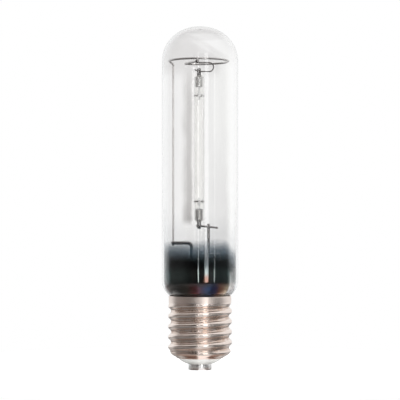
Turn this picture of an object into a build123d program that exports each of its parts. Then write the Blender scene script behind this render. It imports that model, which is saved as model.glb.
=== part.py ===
from build123d import *
import os
from math import asin, cos, pi, radians, sin, sqrt, tan

# Clear tubular high-pressure sodium lamp with a 40 mm screw cap, standing on its centre contact.
# Millimetres. Z runs up the lamp's axis from the contact face, X is the plane of the wire frame.

# Driving sizes: outer envelope
LAMP_LENGTH = 211.0
BULB_DIAMETER = 47.0
BULB_WALL = 1.2
NECK_DIAMETER = 33.2
NECK_LENGTH = 12.97
NECK_SINK = 1.23
SHOULDER_SLOPE = 55.0
SHOULDER_ROUND_MAX = 11.5

# Driving sizes: screw cap
CAP_HEIGHT = 45.2
COLLAR_DIAMETER = 38.4
COLLAR_HEIGHT = 4.2
THREAD_CREST_DIAMETER = 39.3
THREAD_ROOT_DIAMETER = 35.7
THREAD_PITCH = 6.35
THREAD_FADE_IN = 1.2
THREAD_FADE_OUT = 0.4
SLEEVE_WALL = 0.55
LIP_DIAMETER = 28.8
LIP_HEIGHT = 0.6
LIP_FLARE = 0.2
SHOULDER_HEIGHT = 2.7
CONTACT_DIAMETER = 14.2
CONTACT_HEIGHT = 3.5
CONTACT_BEVEL = 0.7
INSULATOR_CONE_HEIGHT = 3.7
INSULATOR_RISE = 2.4
INSULATOR_CUP_DEPTH = 2.5
INSULATOR_EDGE = 0.5
SOLDER_DIAMETER = 5.2
SOLDER_DEPTH = 1.1
SOLDER_HOLLOW = 0.12
LEAD_HOLE_PLAY = 0.5
CEMENT_DEPTH = 4.5
CEMENT_SET_BACK = 0.3

# Driving sizes: arc tube
ARC_TUBE_DIAMETER = 6.2
ARC_TUBE_WALL = 0.7
ARC_TUBE_LENGTH = 88.0
ARC_TUBE_OFFSET = -0.6
NIOBIUM_DIAMETER = 2.5
NIOBIUM_REACH = 5.5
NIOBIUM_SINK = 6.0
NIOBIUM_BEVEL = 0.5
SOCKET_DEPTH = 3.0
PLUG_LENGTH = 6.2
FRIT_HEIGHT = 1.1
FRIT_EDGE = 0.5
ELECTRODE_DIAMETER = 1.0
ELECTRODE_LENGTH = 8.0
WINDING_WIRE = 0.5
WINDING_LENGTH = 3.8
WINDING_SET_BACK = 1.2
AMALGAM_RISE = 0.8
BAND_INSET = 11.4
BAND_HEIGHT = 0.8
BAND_THICKNESS = 0.3
STARTING_WIRE_DIAMETER = 0.3
STARTING_WIRE_END = 1.0
STARTING_WIRE_ANGLE = -52.0

# Driving sizes: stem and its press
STEM_DIAMETER = 14.4
STEM_WALL = 1.3
PRESS_SHARE = 0.62
PRESS_HEIGHT = 8.6
PRESS_WIDTH = 16.4
PRESS_THICKNESS = 4.8
WIRE_JOINT_DEPTH = 5.0
EXHAUST_DIAMETER = 6.0
EXHAUST_WALL = 1.0
EXHAUST_REACH = 9.0

# Driving sizes: wire frame, leads and getter
FRAME_WIRE_DIAMETER = 1.3
RING_DROP = 21.4
RING_CLEARANCE = 3.45
RING_OFFSET = -0.65
RING_SWEEP = 290.0
ROD_STEP = 2.25
ROD_BEND = 1.2
ROD_Y = 2.5
ROD_TAIL = 1.8
TAIL_RUN = 3.4
TAIL_BEND = 2.0
TAIL_SET = 0.6
KNOT_SET = 0.6
POST_X = 5.2
POST_DIAMETER = 1.8
POST_HEADROOM = 2.4
LEAD_X = -5.2
LEAD_DIAMETER = 2.0
LEAD_BAR_RISE = 8.9
LEAD_BEND = 2.4
LEAD_BAR_END = 1.0
CROSS_WIRE_DIAMETER = 1.2
CROSS_WIRE_DROP = 3.6
CROSS_WIRE_SLANT = 0.6
EXPANSION_WIRE_DIAMETER = 0.75
EXPANSION_DROP = 9.8
EXPANSION_RISE = 3.3
EXPANSION_REACH = 8.9
EXPANSION_END = 1.4
EXPANSION_HOOK = 2.6
EXPANSION_HOOK_RISE = 1.2
EXPANSION_HOOK_BEND = 1.5
INNER_WIRE_DIAMETER = 1.0
INNER_WIRE_DROP = 2.0
INNER_WIRE_RISE = 3.5
SLEEVE_WELD_DROP = 4.5
GETTER_DIAMETER = 8.4
GETTER_CHANNEL = 2.2
GETTER_SHEET = 0.35
GETTER_DEPTH = 1.6
GETTER_ARM = 7.4
GETTER_DROP = 5.2
GETTER_WIRE_DIAMETER = 1.0
GETTER_WIRE_RISE = 3.4
GETTER_WIRE_LAP = 2.0

# Two welded wires sink into each other by this much
WELD = 0.12

# Radii
BULB_R = BULB_DIAMETER / 2
NECK_R = NECK_DIAMETER / 2
CREST_R = THREAD_CREST_DIAMETER / 2
ROOT_R = THREAD_ROOT_DIAMETER / 2
THREAD_MEAN_R = (CREST_R + ROOT_R) / 2
THREAD_SWING = (CREST_R - ROOT_R) / 2
COLLAR_R = COLLAR_DIAMETER / 2
LIP_R = LIP_DIAMETER / 2
BORE_R = ROOT_R - SLEEVE_WALL
COLLAR_BORE_R = COLLAR_R - SLEEVE_WALL
LIP_BORE_R = LIP_R - SLEEVE_WALL
CONTACT_R = CONTACT_DIAMETER / 2
SOLDER_R = SOLDER_DIAMETER / 2
NIOBIUM_R = NIOBIUM_DIAMETER / 2
ELECTRODE_R = ELECTRODE_DIAMETER / 2
STARTING_WIRE_R = STARTING_WIRE_DIAMETER / 2
ARC_R = ARC_TUBE_DIAMETER / 2
ARC_BORE_R = ARC_R - ARC_TUBE_WALL
STEM_R = STEM_DIAMETER / 2
STEM_BORE_R = STEM_R - STEM_WALL
EXHAUST_R = EXHAUST_DIAMETER / 2
FRAME_R = FRAME_WIRE_DIAMETER / 2
POST_R = POST_DIAMETER / 2
LEAD_R = LEAD_DIAMETER / 2
CROSS_R = CROSS_WIRE_DIAMETER / 2
EXPANSION_R = EXPANSION_WIRE_DIAMETER / 2
INNER_R = INNER_WIRE_DIAMETER / 2
LEAD_HOLE_R = INNER_R + LEAD_HOLE_PLAY
CONTACT_HOLE_R = INNER_R + LEAD_HOLE_PLAY * 0.6
GETTER_R = GETTER_DIAMETER / 2
GETTER_WIRE_R = GETTER_WIRE_DIAMETER / 2

# Heights in the cap, from the contact face up
LIP_Z = CONTACT_HEIGHT + INSULATOR_CONE_HEIGHT
SHOULDER_FOOT_Z = LIP_Z + LIP_HEIGHT
THREAD_START_Z = SHOULDER_FOOT_Z + SHOULDER_HEIGHT
COLLAR_FOOT_Z = CAP_HEIGHT - COLLAR_HEIGHT
INSULATOR_TOP_Z = THREAD_START_Z + INSULATOR_RISE

# Bends of the sleeve's inside, which the insulator and the cement follow
LIP_BEND_Z = SHOULDER_FOOT_Z + 0.15 * SHOULDER_HEIGHT
BORE_FOOT_Z = THREAD_START_Z + 0.33 * SHOULDER_HEIGHT
BORE_TOP_Z = COLLAR_FOOT_Z - 0.12 * COLLAR_HEIGHT
COLLAR_BORE_FOOT_Z = COLLAR_FOOT_Z + 0.29 * COLLAR_HEIGHT

# The crest of the thread passes the +X side of the lamp at this height
CREST_AT_X_Z = THREAD_START_Z + 2 * THREAD_PITCH
SECTIONS_PER_TURN = 6

# Neck and shoulder of the bulb, seated in the cap
NECK_CORNER_Z = CAP_HEIGHT - NECK_SINK
NECK_BOTTOM_Z = NECK_CORNER_Z - NECK_LENGTH
SHOULDER_RUN = (BULB_R - NECK_R) / sin(radians(SHOULDER_SLOPE))
SHOULDER_CORNER_Z = NECK_CORNER_Z + SHOULDER_RUN * cos(radians(SHOULDER_SLOPE))
SHOULDER_ROUND = min(SHOULDER_ROUND_MAX, 0.85 * SHOULDER_RUN / tan(radians(SHOULDER_SLOPE) / 2))

# Dome of the bulb: a flattish top on a round knuckle
DOME_TOP_R = 1.15 * BULB_R
DOME_KNUCKLE_R = 0.9 * BULB_R
DOME_HEIGHT = DOME_TOP_R - sqrt((DOME_TOP_R - DOME_KNUCKLE_R) ** 2 - (BULB_R - DOME_KNUCKLE_R) ** 2)
DOME_FOOT_Z = LAMP_LENGTH - DOME_HEIGHT

# The mount hangs from its ring in the dome: ring, arc tube and leads follow each other down,
# and the press stands at its share of the room between the seal and the arc tube
RING_Z = LAMP_LENGTH - RING_DROP
RING_RADIUS = BULB_R - BULB_WALL - RING_CLEARANCE - FRAME_R
RING_LEFT_X = RING_OFFSET - RING_RADIUS
FRAME_ROD_X = RING_LEFT_X + ROD_STEP
ARC_TUBE_TOP = RING_Z - EXPANSION_DROP
ARC_TUBE_BOTTOM = ARC_TUBE_TOP - ARC_TUBE_LENGTH
PRESS_TOP = NECK_BOTTOM_Z + PRESS_SHARE * (ARC_TUBE_BOTTOM - NECK_BOTTOM_Z)
PRESS_BOTTOM = PRESS_TOP - PRESS_HEIGHT
LEAD_BAR_Z = PRESS_TOP + LEAD_BAR_RISE
ROD_BOTTOM_Z = LEAD_BAR_Z - ROD_TAIL
WIRE_JOINT_Z = PRESS_TOP - WIRE_JOINT_DEPTH
KNOT_X = ARC_TUBE_OFFSET - KNOT_SET
EXPANSION_Y = -(NIOBIUM_R + EXPANSION_R - WELD)
EXPANSION_TOP_Z = RING_Z - FRAME_R - EXPANSION_R + WELD
EXPANSION_LOW_Z = ARC_TUBE_TOP + EXPANSION_RISE
EXPANSION_X = ARC_TUBE_OFFSET + EXPANSION_REACH
GETTER_X = POST_X + GETTER_ARM
GETTER_Z = PRESS_TOP - GETTER_DROP

# Flare, tube and squeeze share the height between the seal and the press
SEAL_R = NECK_R - BULB_WALL
STEM_HEIGHT = PRESS_BOTTOM - NECK_BOTTOM_Z
FLARE_HEIGHT = 0.378 * STEM_HEIGHT
FLARE_TOP_Z = NECK_BOTTOM_Z + FLARE_HEIGHT
SQUEEZE_FOOT_Z = PRESS_BOTTOM - 0.172 * STEM_HEIGHT
EXHAUST_BOTTOM_Z = NECK_BOTTOM_Z - EXHAUST_REACH


def smooth_step(value, low, high):
    """Rise from 0 at low to 1 at high with level ends."""
    share = min(max((value - low) / (high - low), 0.0), 1.0)
    return share * share * (3 - 2 * share)


def turned(points):
    """Solid of revolution round Z from (radius, height) points."""
    outline = Plane.XZ * make_face(Polyline(*points, close=True))
    return revolve(outline, Axis.Z)


def rod(start, end, radius):
    """Straight round wire between two points."""
    line = Line(start, end)
    return sweep(Plane(origin=line @ 0, z_dir=line % 0) * Circle(radius), path=line)


def bent_wire(path, radius, corners=Transition.TRANSFORMED):
    """Round wire along a path of lines and tangent arcs, or with mitred corners."""
    return sweep(Plane(origin=path @ 0, z_dir=path % 0) * Circle(radius), path=path, transition=corners)


def write(shape, node):
    """Save one node as one STEP file."""
    solid = shape.solids()[0] if len(shape.solids()) == 1 else shape
    solid.label = node
    export_step(solid, os.path.join("parts", node + ".step"))


def sleeve_section(height):
    """Circle of the rolled sleeve at one height: in a round thread its centre circles the axis."""
    rise = smooth_step(height, THREAD_START_Z - THREAD_FADE_IN, THREAD_START_Z + THREAD_PITCH / 2)
    run_out = smooth_step(height, COLLAR_FOOT_Z - THREAD_PITCH / 2, COLLAR_FOOT_Z + THREAD_FADE_OUT)
    swing = THREAD_SWING * rise * (1 - run_out)
    foot = smooth_step(height, THREAD_START_Z - THREAD_PITCH / 2, THREAD_START_Z + THREAD_PITCH / 3)
    radius = ROOT_R + (THREAD_MEAN_R - ROOT_R) * foot + (COLLAR_R - THREAD_MEAN_R) * run_out
    turn = 2 * pi * (height - CREST_AT_X_Z) / THREAD_PITCH
    return Pos(swing * cos(turn), swing * sin(turn), height) * Circle(radius)


def make_threaded_sleeve():
    """Rolled sheet sleeve: turned-in lip, shoulder, round thread and plain collar."""
    threaded_height = COLLAR_FOOT_Z + THREAD_FADE_OUT - THREAD_START_Z
    steps = round(threaded_height / THREAD_PITCH * SECTIONS_PER_TURN)
    sections = [Pos(0, 0, LIP_Z) * Circle(LIP_R), Pos(0, 0, SHOULDER_FOOT_Z) * Circle(LIP_R + LIP_FLARE)]
    for step in range(steps + 1):
        sections.append(sleeve_section(THREAD_START_Z + threaded_height * step / steps))
    sections.append(Pos(0, 0, CAP_HEIGHT) * Circle(COLLAR_R))
    bore = turned([
        (0, LIP_Z - SLEEVE_WALL),
        (LIP_BORE_R, LIP_Z - SLEEVE_WALL),
        (LIP_BORE_R, LIP_BEND_Z),
        (BORE_R, BORE_FOOT_Z),
        (BORE_R, BORE_TOP_Z),
        (COLLAR_BORE_R, COLLAR_BORE_FOOT_Z),
        (COLLAR_BORE_R, CAP_HEIGHT + SLEEVE_WALL),
        (0, CAP_HEIGHT + SLEEVE_WALL),
    ])
    return loft(sections, ruled=True) - bore


def make_cap_insulator():
    """Glass cone that closes the cap's lower end and carries the centre contact."""
    cup_floor_z = INSULATOR_TOP_Z - INSULATOR_CUP_DEPTH
    return turned([
        (LEAD_HOLE_R, CONTACT_HEIGHT),
        (CONTACT_R + LIP_FLARE, CONTACT_HEIGHT),
        (LIP_BORE_R - INSULATOR_EDGE, LIP_Z - LIP_FLARE / 2),
        (LIP_BORE_R, LIP_Z + LIP_HEIGHT / 2),
        (LIP_BORE_R, LIP_BEND_Z),
        (BORE_R, BORE_FOOT_Z),
        (BORE_R, INSULATOR_TOP_Z),
        (BORE_R * 0.55, INSULATOR_TOP_Z),
        (BORE_R * 0.45, cup_floor_z),
        (LEAD_HOLE_R, cup_floor_z),
    ])


def make_centre_contact():
    """Turned brass button with a bevelled rim, a lead hole and a countersink for the solder."""
    button = turned([
        (CONTACT_HOLE_R, SOLDER_DEPTH),
        (SOLDER_R, 0),
        (CONTACT_R, 0),
        (CONTACT_R, CONTACT_HEIGHT),
        (CONTACT_HOLE_R, CONTACT_HEIGHT),
    ])
    rim = button.edges().filter_by(GeomType.CIRCLE).group_by(Axis.Z)[0].sort_by(SortBy.RADIUS)[-1]
    return chamfer(rim, CONTACT_BEVEL)


def make_contact_solder(lead):
    """Solder that fills the countersink round the end of the lead."""
    level_r = SOLDER_R - (SOLDER_R - CONTACT_HOLE_R) * SOLDER_HOLLOW / SOLDER_DEPTH
    bead = turned([
        (0, SOLDER_HOLLOW),
        (level_r, SOLDER_HOLLOW),
        (CONTACT_HOLE_R, SOLDER_DEPTH),
        (0, SOLDER_DEPTH),
    ])
    return bead - lead


def bulb_body(inset):
    """Solid inside the bulb's surface, drawn in by inset all over."""
    lift = inset * tan(radians(SHOULDER_SLOPE) / 2)
    side = FilletPolyline(
        (NECK_R - inset, NECK_BOTTOM_Z),
        (NECK_R - inset, NECK_CORNER_Z + lift),
        (BULB_R - inset, SHOULDER_CORNER_Z + lift),
        (BULB_R - inset, DOME_FOOT_Z),
        radius=[0, SHOULDER_ROUND - inset],
    )
    lean = asin((BULB_R - DOME_KNUCKLE_R) / (DOME_TOP_R - DOME_KNUCKLE_R))
    top_r = DOME_TOP_R - inset
    knuckle_r = DOME_KNUCKLE_R - inset
    knuckle_x = BULB_R - DOME_KNUCKLE_R
    top_z = LAMP_LENGTH - DOME_TOP_R
    mid_knuckle = (pi / 2 + lean) / 2
    join = (top_r * sin(lean), top_z + top_r * cos(lean))
    knuckle = ThreePointArc(
        (BULB_R - inset, DOME_FOOT_Z),
        (knuckle_x + knuckle_r * sin(mid_knuckle), DOME_FOOT_Z + knuckle_r * cos(mid_knuckle)),
        join,
    )
    top = ThreePointArc(
        join,
        (top_r * sin(lean / 2), top_z + top_r * cos(lean / 2)),
        (0, top_z + top_r),
    )
    axis = Line((0, top_z + top_r), (0, NECK_BOTTOM_Z))
    floor = Line((0, NECK_BOTTOM_Z), (NECK_R - inset, NECK_BOTTOM_Z))
    outline = Plane.XZ * make_face(Curve() + [side, knuckle, top, axis, floor])
    return revolve(outline, Axis.Z)


def make_outer_bulb():
    """Blown glass bulb, open at the neck."""
    return bulb_body(0) - bulb_body(BULB_WALL)


def make_glass_stem(wires):
    """Flare sealed in the neck, stem tube, flat press round the lead wires and exhaust tube."""
    throat = (SEAL_R - STEM_R) / 4
    flare = turned([
        (SEAL_R - STEM_WALL, NECK_BOTTOM_Z),
        (SEAL_R, NECK_BOTTOM_Z),
        (SEAL_R, NECK_BOTTOM_Z + 0.2 * FLARE_HEIGHT),
        (STEM_R + throat, FLARE_TOP_Z - 0.24 * FLARE_HEIGHT),
        (STEM_R, FLARE_TOP_Z),
        (STEM_R, SQUEEZE_FOOT_Z),
        (STEM_BORE_R, SQUEEZE_FOOT_Z),
        (STEM_BORE_R, FLARE_TOP_Z - 0.07 * FLARE_HEIGHT),
        (STEM_BORE_R + 0.8 * throat, FLARE_TOP_Z - 0.33 * FLARE_HEIGHT),
    ])
    squeeze_height = PRESS_BOTTOM - SQUEEZE_FOOT_Z
    squeeze = loft([
        Pos(0, 0, SQUEEZE_FOOT_Z) * Ellipse(STEM_R, STEM_R),
        Pos(0, 0, PRESS_BOTTOM + 0.2 * squeeze_height) * Ellipse(PRESS_WIDTH / 2, PRESS_THICKNESS / 2),
    ], ruled=True)
    hollow = turned([
        (0, SQUEEZE_FOOT_Z),
        (STEM_BORE_R, SQUEEZE_FOOT_Z),
        (STEM_WALL, SQUEEZE_FOOT_Z + 0.8 * squeeze_height),
        (0, SQUEEZE_FOOT_Z + 0.8 * squeeze_height),
    ])
    slab = extrude(Pos(0, 0, PRESS_BOTTOM) * SlotOverall(PRESS_WIDTH, PRESS_THICKNESS), PRESS_HEIGHT)
    exhaust_bore_r = EXHAUST_R - EXHAUST_WALL
    exhaust = turned([
        (exhaust_bore_r, EXHAUST_BOTTOM_Z + 2 * EXHAUST_WALL),
        (0, EXHAUST_BOTTOM_Z + EXHAUST_WALL),
        (0, EXHAUST_BOTTOM_Z),
        (EXHAUST_R * 0.6, EXHAUST_BOTTOM_Z + 0.6 * EXHAUST_WALL),
        (EXHAUST_R, EXHAUST_BOTTOM_Z + 3 * EXHAUST_WALL),
        (EXHAUST_R, PRESS_BOTTOM + 0.06 * PRESS_HEIGHT),
        (exhaust_bore_r, PRESS_BOTTOM + 0.06 * PRESS_HEIGHT),
    ])
    glass = flare + (squeeze - hollow) + slab + exhaust
    for wire in wires:
        glass = glass - wire
    return glass


def make_basing_cement():
    """Ring of cement that holds the neck in the sleeve."""
    bottom = COLLAR_FOOT_Z - CEMENT_DEPTH
    top = NECK_CORNER_Z - CEMENT_SET_BACK
    return turned([
        (NECK_R, bottom),
        (BORE_R, bottom),
        (BORE_R, BORE_TOP_Z),
        (COLLAR_BORE_R, COLLAR_BORE_FOOT_Z),
        (COLLAR_BORE_R, top),
        (NECK_R, top),
    ])


def make_frame_wire():
    """One bent wire: side rod, support ring in the dome and a tail to the middle."""
    riser = FilletPolyline(
        (FRAME_ROD_X, ROD_Y, ROD_BOTTOM_Z),
        (FRAME_ROD_X, ROD_Y, RING_Z - ROD_STEP * 0.7),
        (RING_LEFT_X, ROD_Y, RING_Z),
        (RING_LEFT_X, 0, RING_Z),
        radius=[ROD_BEND, ROD_Y * 0.7],
    )
    ring = CenterArc((RING_OFFSET, 0, RING_Z), RING_RADIUS, 180, RING_SWEEP)
    away = ring % 1
    tail = FilletPolyline(
        ring @ 1,
        (ring @ 1) + away * TAIL_RUN,
        (KNOT_X, EXPANSION_Y - TAIL_SET, RING_Z),
        radius=TAIL_BEND,
    )
    return bent_wire(Curve() + [riser, ring, tail], FRAME_R)


def make_expansion_lead(frame_wire, niobium):
    """Springy loop that lets the arc tube grow, welded to the frame's tail and the upper niobium tube."""
    loop_r = (EXPANSION_TOP_Z - EXPANSION_LOW_Z) / 2 * 0.96
    path = FilletPolyline(
        (KNOT_X - EXPANSION_END, EXPANSION_Y, EXPANSION_TOP_Z),
        (EXPANSION_X, EXPANSION_Y, EXPANSION_TOP_Z),
        (EXPANSION_X, EXPANSION_Y, EXPANSION_LOW_Z),
        (ARC_TUBE_OFFSET, EXPANSION_Y, EXPANSION_LOW_Z),
        (ARC_TUBE_OFFSET - EXPANSION_HOOK, EXPANSION_Y, EXPANSION_LOW_Z + EXPANSION_HOOK_RISE),
        radius=[loop_r, loop_r, EXPANSION_HOOK_BEND],
    )
    return bent_wire(path, EXPANSION_R) - frame_wire - niobium


def at_tube_end(shape, end_z, up):
    """Place a piece drawn about the arc tube's upper end at either end of it."""
    turn = 0 if up else 180
    return Pos(ARC_TUBE_OFFSET, 0, end_z) * Rot(turn, 0, 0) * shape


def make_niobium_tube(end_z, up):
    """Closed feed-through tube with a socket for the electrode's shank."""
    tube = turned([
        (0, SOCKET_DEPTH - NIOBIUM_SINK),
        (ELECTRODE_R, SOCKET_DEPTH - NIOBIUM_SINK),
        (ELECTRODE_R, -NIOBIUM_SINK),
        (NIOBIUM_R, -NIOBIUM_SINK),
        (NIOBIUM_R, NIOBIUM_REACH - NIOBIUM_BEVEL),
        (NIOBIUM_R - NIOBIUM_BEVEL, NIOBIUM_REACH),
        (0, NIOBIUM_REACH),
    ])
    return at_tube_end(tube, end_z, up)


def make_end_plug(end_z, up):
    """Ceramic plug flush with the end of the arc tube."""
    plug = turned([
        (NIOBIUM_R, -PLUG_LENGTH),
        (ARC_BORE_R, -PLUG_LENGTH),
        (ARC_BORE_R, 0),
        (NIOBIUM_R, 0),
    ])
    return at_tube_end(plug, end_z, up)


def make_seal_frit(end_z, up):
    """Fillet of sealing glass round the niobium tube."""
    frit = turned([
        (NIOBIUM_R, 0),
        (ARC_R - FRIT_EDGE, 0),
        ((NIOBIUM_R + ARC_R - FRIT_EDGE) / 2, FRIT_HEIGHT * 0.4),
        (NIOBIUM_R, FRIT_HEIGHT),
    ])
    return at_tube_end(frit, end_z, up)


def make_electrode(end_z, up):
    """Tungsten shank with its winding."""
    foot = SOCKET_DEPTH - NIOBIUM_SINK
    tip = -NIOBIUM_SINK - ELECTRODE_LENGTH
    winding_low = tip + WINDING_SET_BACK
    winding_high = winding_low + WINDING_LENGTH
    winding_r = ELECTRODE_R + WINDING_WIRE
    electrode = turned([
        (0, foot),
        (0, tip),
        (ELECTRODE_R, tip),
        (ELECTRODE_R, winding_low),
        (winding_r, winding_low + WINDING_WIRE),
        (winding_r, winding_high - WINDING_WIRE),
        (ELECTRODE_R, winding_high),
        (ELECTRODE_R, foot),
    ])
    return at_tube_end(electrode, end_z, up)


def make_sodium_amalgam():
    """Frozen ring of amalgam on the lower plug's inner face, round the end of the feed-through."""
    ring = turned([
        (NIOBIUM_R, -PLUG_LENGTH),
        (NIOBIUM_R, -PLUG_LENGTH - AMALGAM_RISE * 0.6),
        ((NIOBIUM_R + ARC_BORE_R) / 2, -PLUG_LENGTH - AMALGAM_RISE),
        (ARC_BORE_R, -PLUG_LENGTH - AMALGAM_RISE * 0.4),
        (ARC_BORE_R, -PLUG_LENGTH),
    ])
    return at_tube_end(ring, ARC_TUBE_BOTTOM, False)


def make_starting_wire(arc_tube):
    """Starting aid: a wire laid on the arc tube between two straps."""
    low_z = ARC_TUBE_BOTTOM + BAND_INSET
    high_z = ARC_TUBE_TOP - BAND_INSET
    piece = None
    for height in (low_z, high_z):
        strap = Pos(ARC_TUBE_OFFSET, 0, 0) * turned([
            (ARC_R, height - BAND_HEIGHT / 2),
            (ARC_R + BAND_THICKNESS, height - BAND_HEIGHT / 2),
            (ARC_R + BAND_THICKNESS, height + BAND_HEIGHT / 2),
            (ARC_R, height + BAND_HEIGHT / 2),
        ])
        piece = strap if piece is None else piece + strap
    lay = ARC_R + STARTING_WIRE_R - WELD / 6
    x = ARC_TUBE_OFFSET + lay * cos(radians(STARTING_WIRE_ANGLE))
    y = lay * sin(radians(STARTING_WIRE_ANGLE))
    wire = rod((x, y, low_z - STARTING_WIRE_END), (x, y, high_z + STARTING_WIRE_END), STARTING_WIRE_R)
    return piece + (wire - arc_tube)


def make_cross_wire(niobium, post):
    """Straight wire from the lower niobium tube across the post, with a free end."""
    tube_z = ARC_TUBE_BOTTOM - CROSS_WIRE_DROP
    at_tube = Vector(ARC_TUBE_OFFSET, -(NIOBIUM_R + CROSS_R - WELD), tube_z)
    at_post = Vector(POST_X, -(POST_R + CROSS_R - WELD), tube_z - CROSS_WIRE_SLANT)
    run = at_post - at_tube
    return rod(at_tube - run * 0.3, at_post + run, CROSS_R) - niobium - post


def make_lead_post():
    """Stout lead that carries the arc tube's lower end."""
    return rod((POST_X, 0, WIRE_JOINT_Z), (POST_X, 0, ARC_TUBE_BOTTOM - POST_HEADROOM), POST_R)


def make_frame_lead(frame_wire):
    """Lead that rises from the press and turns out to carry the frame."""
    side_y = ROD_Y - (FRAME_R + LEAD_R - WELD)
    path = FilletPolyline(
        (LEAD_X, 0, WIRE_JOINT_Z),
        (LEAD_X, 0, LEAD_BAR_Z),
        (FRAME_ROD_X - LEAD_BAR_END, side_y, LEAD_BAR_Z),
        radius=LEAD_BEND,
    )
    return bent_wire(path, LEAD_R) - frame_wire


def make_contact_lead():
    """Lower lead from the press down to the solder in the centre contact."""
    path = Polyline(
        (POST_X, 0, WIRE_JOINT_Z),
        (POST_X, 0, NECK_BOTTOM_Z - INNER_WIRE_DROP),
        (0, 0, INSULATOR_TOP_Z + INNER_WIRE_RISE),
        (0, 0, SOLDER_DEPTH * 0.45),
    )
    return bent_wire(path, INNER_R, Transition.RIGHT)


def make_sleeve_lead(sleeve):
    """Lower lead from the press out to its weld on the inside of the sleeve."""
    end_z = NECK_BOTTOM_Z - SLEEVE_WELD_DROP
    path = Polyline(
        (LEAD_X, 0, WIRE_JOINT_Z),
        (LEAD_X, 0, end_z + INNER_WIRE_DROP),
        (-(BORE_R + WELD), 0, end_z),
    )
    return bent_wire(path, INNER_R, Transition.RIGHT) - sleeve


def make_getter_ring():
    """Pressed channel ring that faces the side wall."""
    inner_r = GETTER_R - GETTER_CHANNEL
    channel = turned([
        (inner_r, 0),
        (GETTER_R, 0),
        (GETTER_R, GETTER_DEPTH),
        (GETTER_R - GETTER_SHEET, GETTER_DEPTH),
        (GETTER_R - GETTER_SHEET, GETTER_SHEET),
        (inner_r + GETTER_SHEET, GETTER_SHEET),
        (inner_r + GETTER_SHEET, GETTER_DEPTH),
        (inner_r, GETTER_DEPTH),
    ])
    return Pos(GETTER_X, 0, GETTER_Z) * Rot(0, 90, 0) * channel


def make_getter_wire(ring, post):
    """Short wire that holds the getter ring on the post."""
    top_z = GETTER_Z + GETTER_R + GETTER_WIRE_RISE
    back_x = GETTER_X - GETTER_WIRE_R + WELD
    path = Polyline(
        (POST_X, 0, top_z),
        (back_x, 0, top_z),
        (back_x, 0, GETTER_Z + GETTER_R - GETTER_WIRE_LAP),
    )
    return bent_wire(path, GETTER_WIRE_R, Transition.RIGHT) - ring - post


def make_arc_tube():
    """Plain ceramic tube."""
    tube = turned([
        (ARC_BORE_R, ARC_TUBE_BOTTOM),
        (ARC_R, ARC_TUBE_BOTTOM),
        (ARC_R, ARC_TUBE_TOP),
        (ARC_BORE_R, ARC_TUBE_TOP),
    ])
    return Pos(ARC_TUBE_OFFSET, 0, 0) * tube


def main():
    """Build every piece and write it as its own file."""
    os.makedirs("parts", exist_ok=True)
    sleeve = make_threaded_sleeve()
    arc_tube = make_arc_tube()
    upper_niobium = make_niobium_tube(ARC_TUBE_TOP, True)
    lower_niobium = make_niobium_tube(ARC_TUBE_BOTTOM, False)
    frame_wire = make_frame_wire()
    lead_post = make_lead_post()
    frame_lead = make_frame_lead(frame_wire)
    contact_lead = make_contact_lead()
    sleeve_lead = make_sleeve_lead(sleeve)
    getter_ring = make_getter_ring()
    pieces = {
        "threaded_sleeve": sleeve,
        "cap_insulator": make_cap_insulator(),
        "centre_contact": make_centre_contact(),
        "contact_solder": make_contact_solder(contact_lead),
        "basing_cement": make_basing_cement(),
        "outer_bulb": make_outer_bulb(),
        "glass_stem": make_glass_stem([lead_post, frame_lead, contact_lead, sleeve_lead]),
        "frame_wire": frame_wire,
        "frame_lead": frame_lead,
        "lead_post": lead_post,
        "contact_lead": contact_lead,
        "sleeve_lead": sleeve_lead,
        "expansion_lead": make_expansion_lead(frame_wire, upper_niobium),
        "cross_wire": make_cross_wire(lower_niobium, lead_post),
        "arc_tube": arc_tube,
        "upper_plug": make_end_plug(ARC_TUBE_TOP, True),
        "lower_plug": make_end_plug(ARC_TUBE_BOTTOM, False),
        "upper_frit": make_seal_frit(ARC_TUBE_TOP, True),
        "lower_frit": make_seal_frit(ARC_TUBE_BOTTOM, False),
        "upper_niobium_tube": upper_niobium,
        "lower_niobium_tube": lower_niobium,
        "upper_electrode": make_electrode(ARC_TUBE_TOP, True),
        "lower_electrode": make_electrode(ARC_TUBE_BOTTOM, False),
        "sodium_amalgam": make_sodium_amalgam(),
        "starting_wire": make_starting_wire(arc_tube),
        "getter_ring": getter_ring,
        "getter_wire": make_getter_wire(getter_ring, lead_post),
    }
    for node, shape in pieces.items():
        write(shape, node)


main()
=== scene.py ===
import math

import bmesh
import bpy
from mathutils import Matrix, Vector


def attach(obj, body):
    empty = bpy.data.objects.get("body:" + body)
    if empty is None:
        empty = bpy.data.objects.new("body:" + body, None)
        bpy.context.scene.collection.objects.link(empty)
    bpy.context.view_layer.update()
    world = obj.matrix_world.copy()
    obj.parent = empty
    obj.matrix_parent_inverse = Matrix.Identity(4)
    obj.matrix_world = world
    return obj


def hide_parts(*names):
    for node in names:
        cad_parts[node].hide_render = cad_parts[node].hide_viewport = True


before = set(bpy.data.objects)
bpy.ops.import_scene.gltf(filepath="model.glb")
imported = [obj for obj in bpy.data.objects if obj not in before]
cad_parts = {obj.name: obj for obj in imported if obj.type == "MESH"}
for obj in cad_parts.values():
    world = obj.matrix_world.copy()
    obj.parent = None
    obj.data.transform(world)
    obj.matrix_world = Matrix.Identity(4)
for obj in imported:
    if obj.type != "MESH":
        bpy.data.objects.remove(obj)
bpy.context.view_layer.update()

# Sizes of the lamp in millimetres, as in the part's source where it has them
MM = 0.001
LAMP_LENGTH = 211.0
BULB_R = 23.5
BULB_WALL = 1.2
NECK_R = 16.6
NECK_BOTTOM_Z = 31.0
NECK_CORNER_Z = 43.97
SHOULDER_SLOPE = math.radians(55.0)
SHOULDER_ROUND = 11.5
SHOULDER_CORNER_Z = NECK_CORNER_Z + (BULB_R - NECK_R) / math.tan(SHOULDER_SLOPE)
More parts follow.
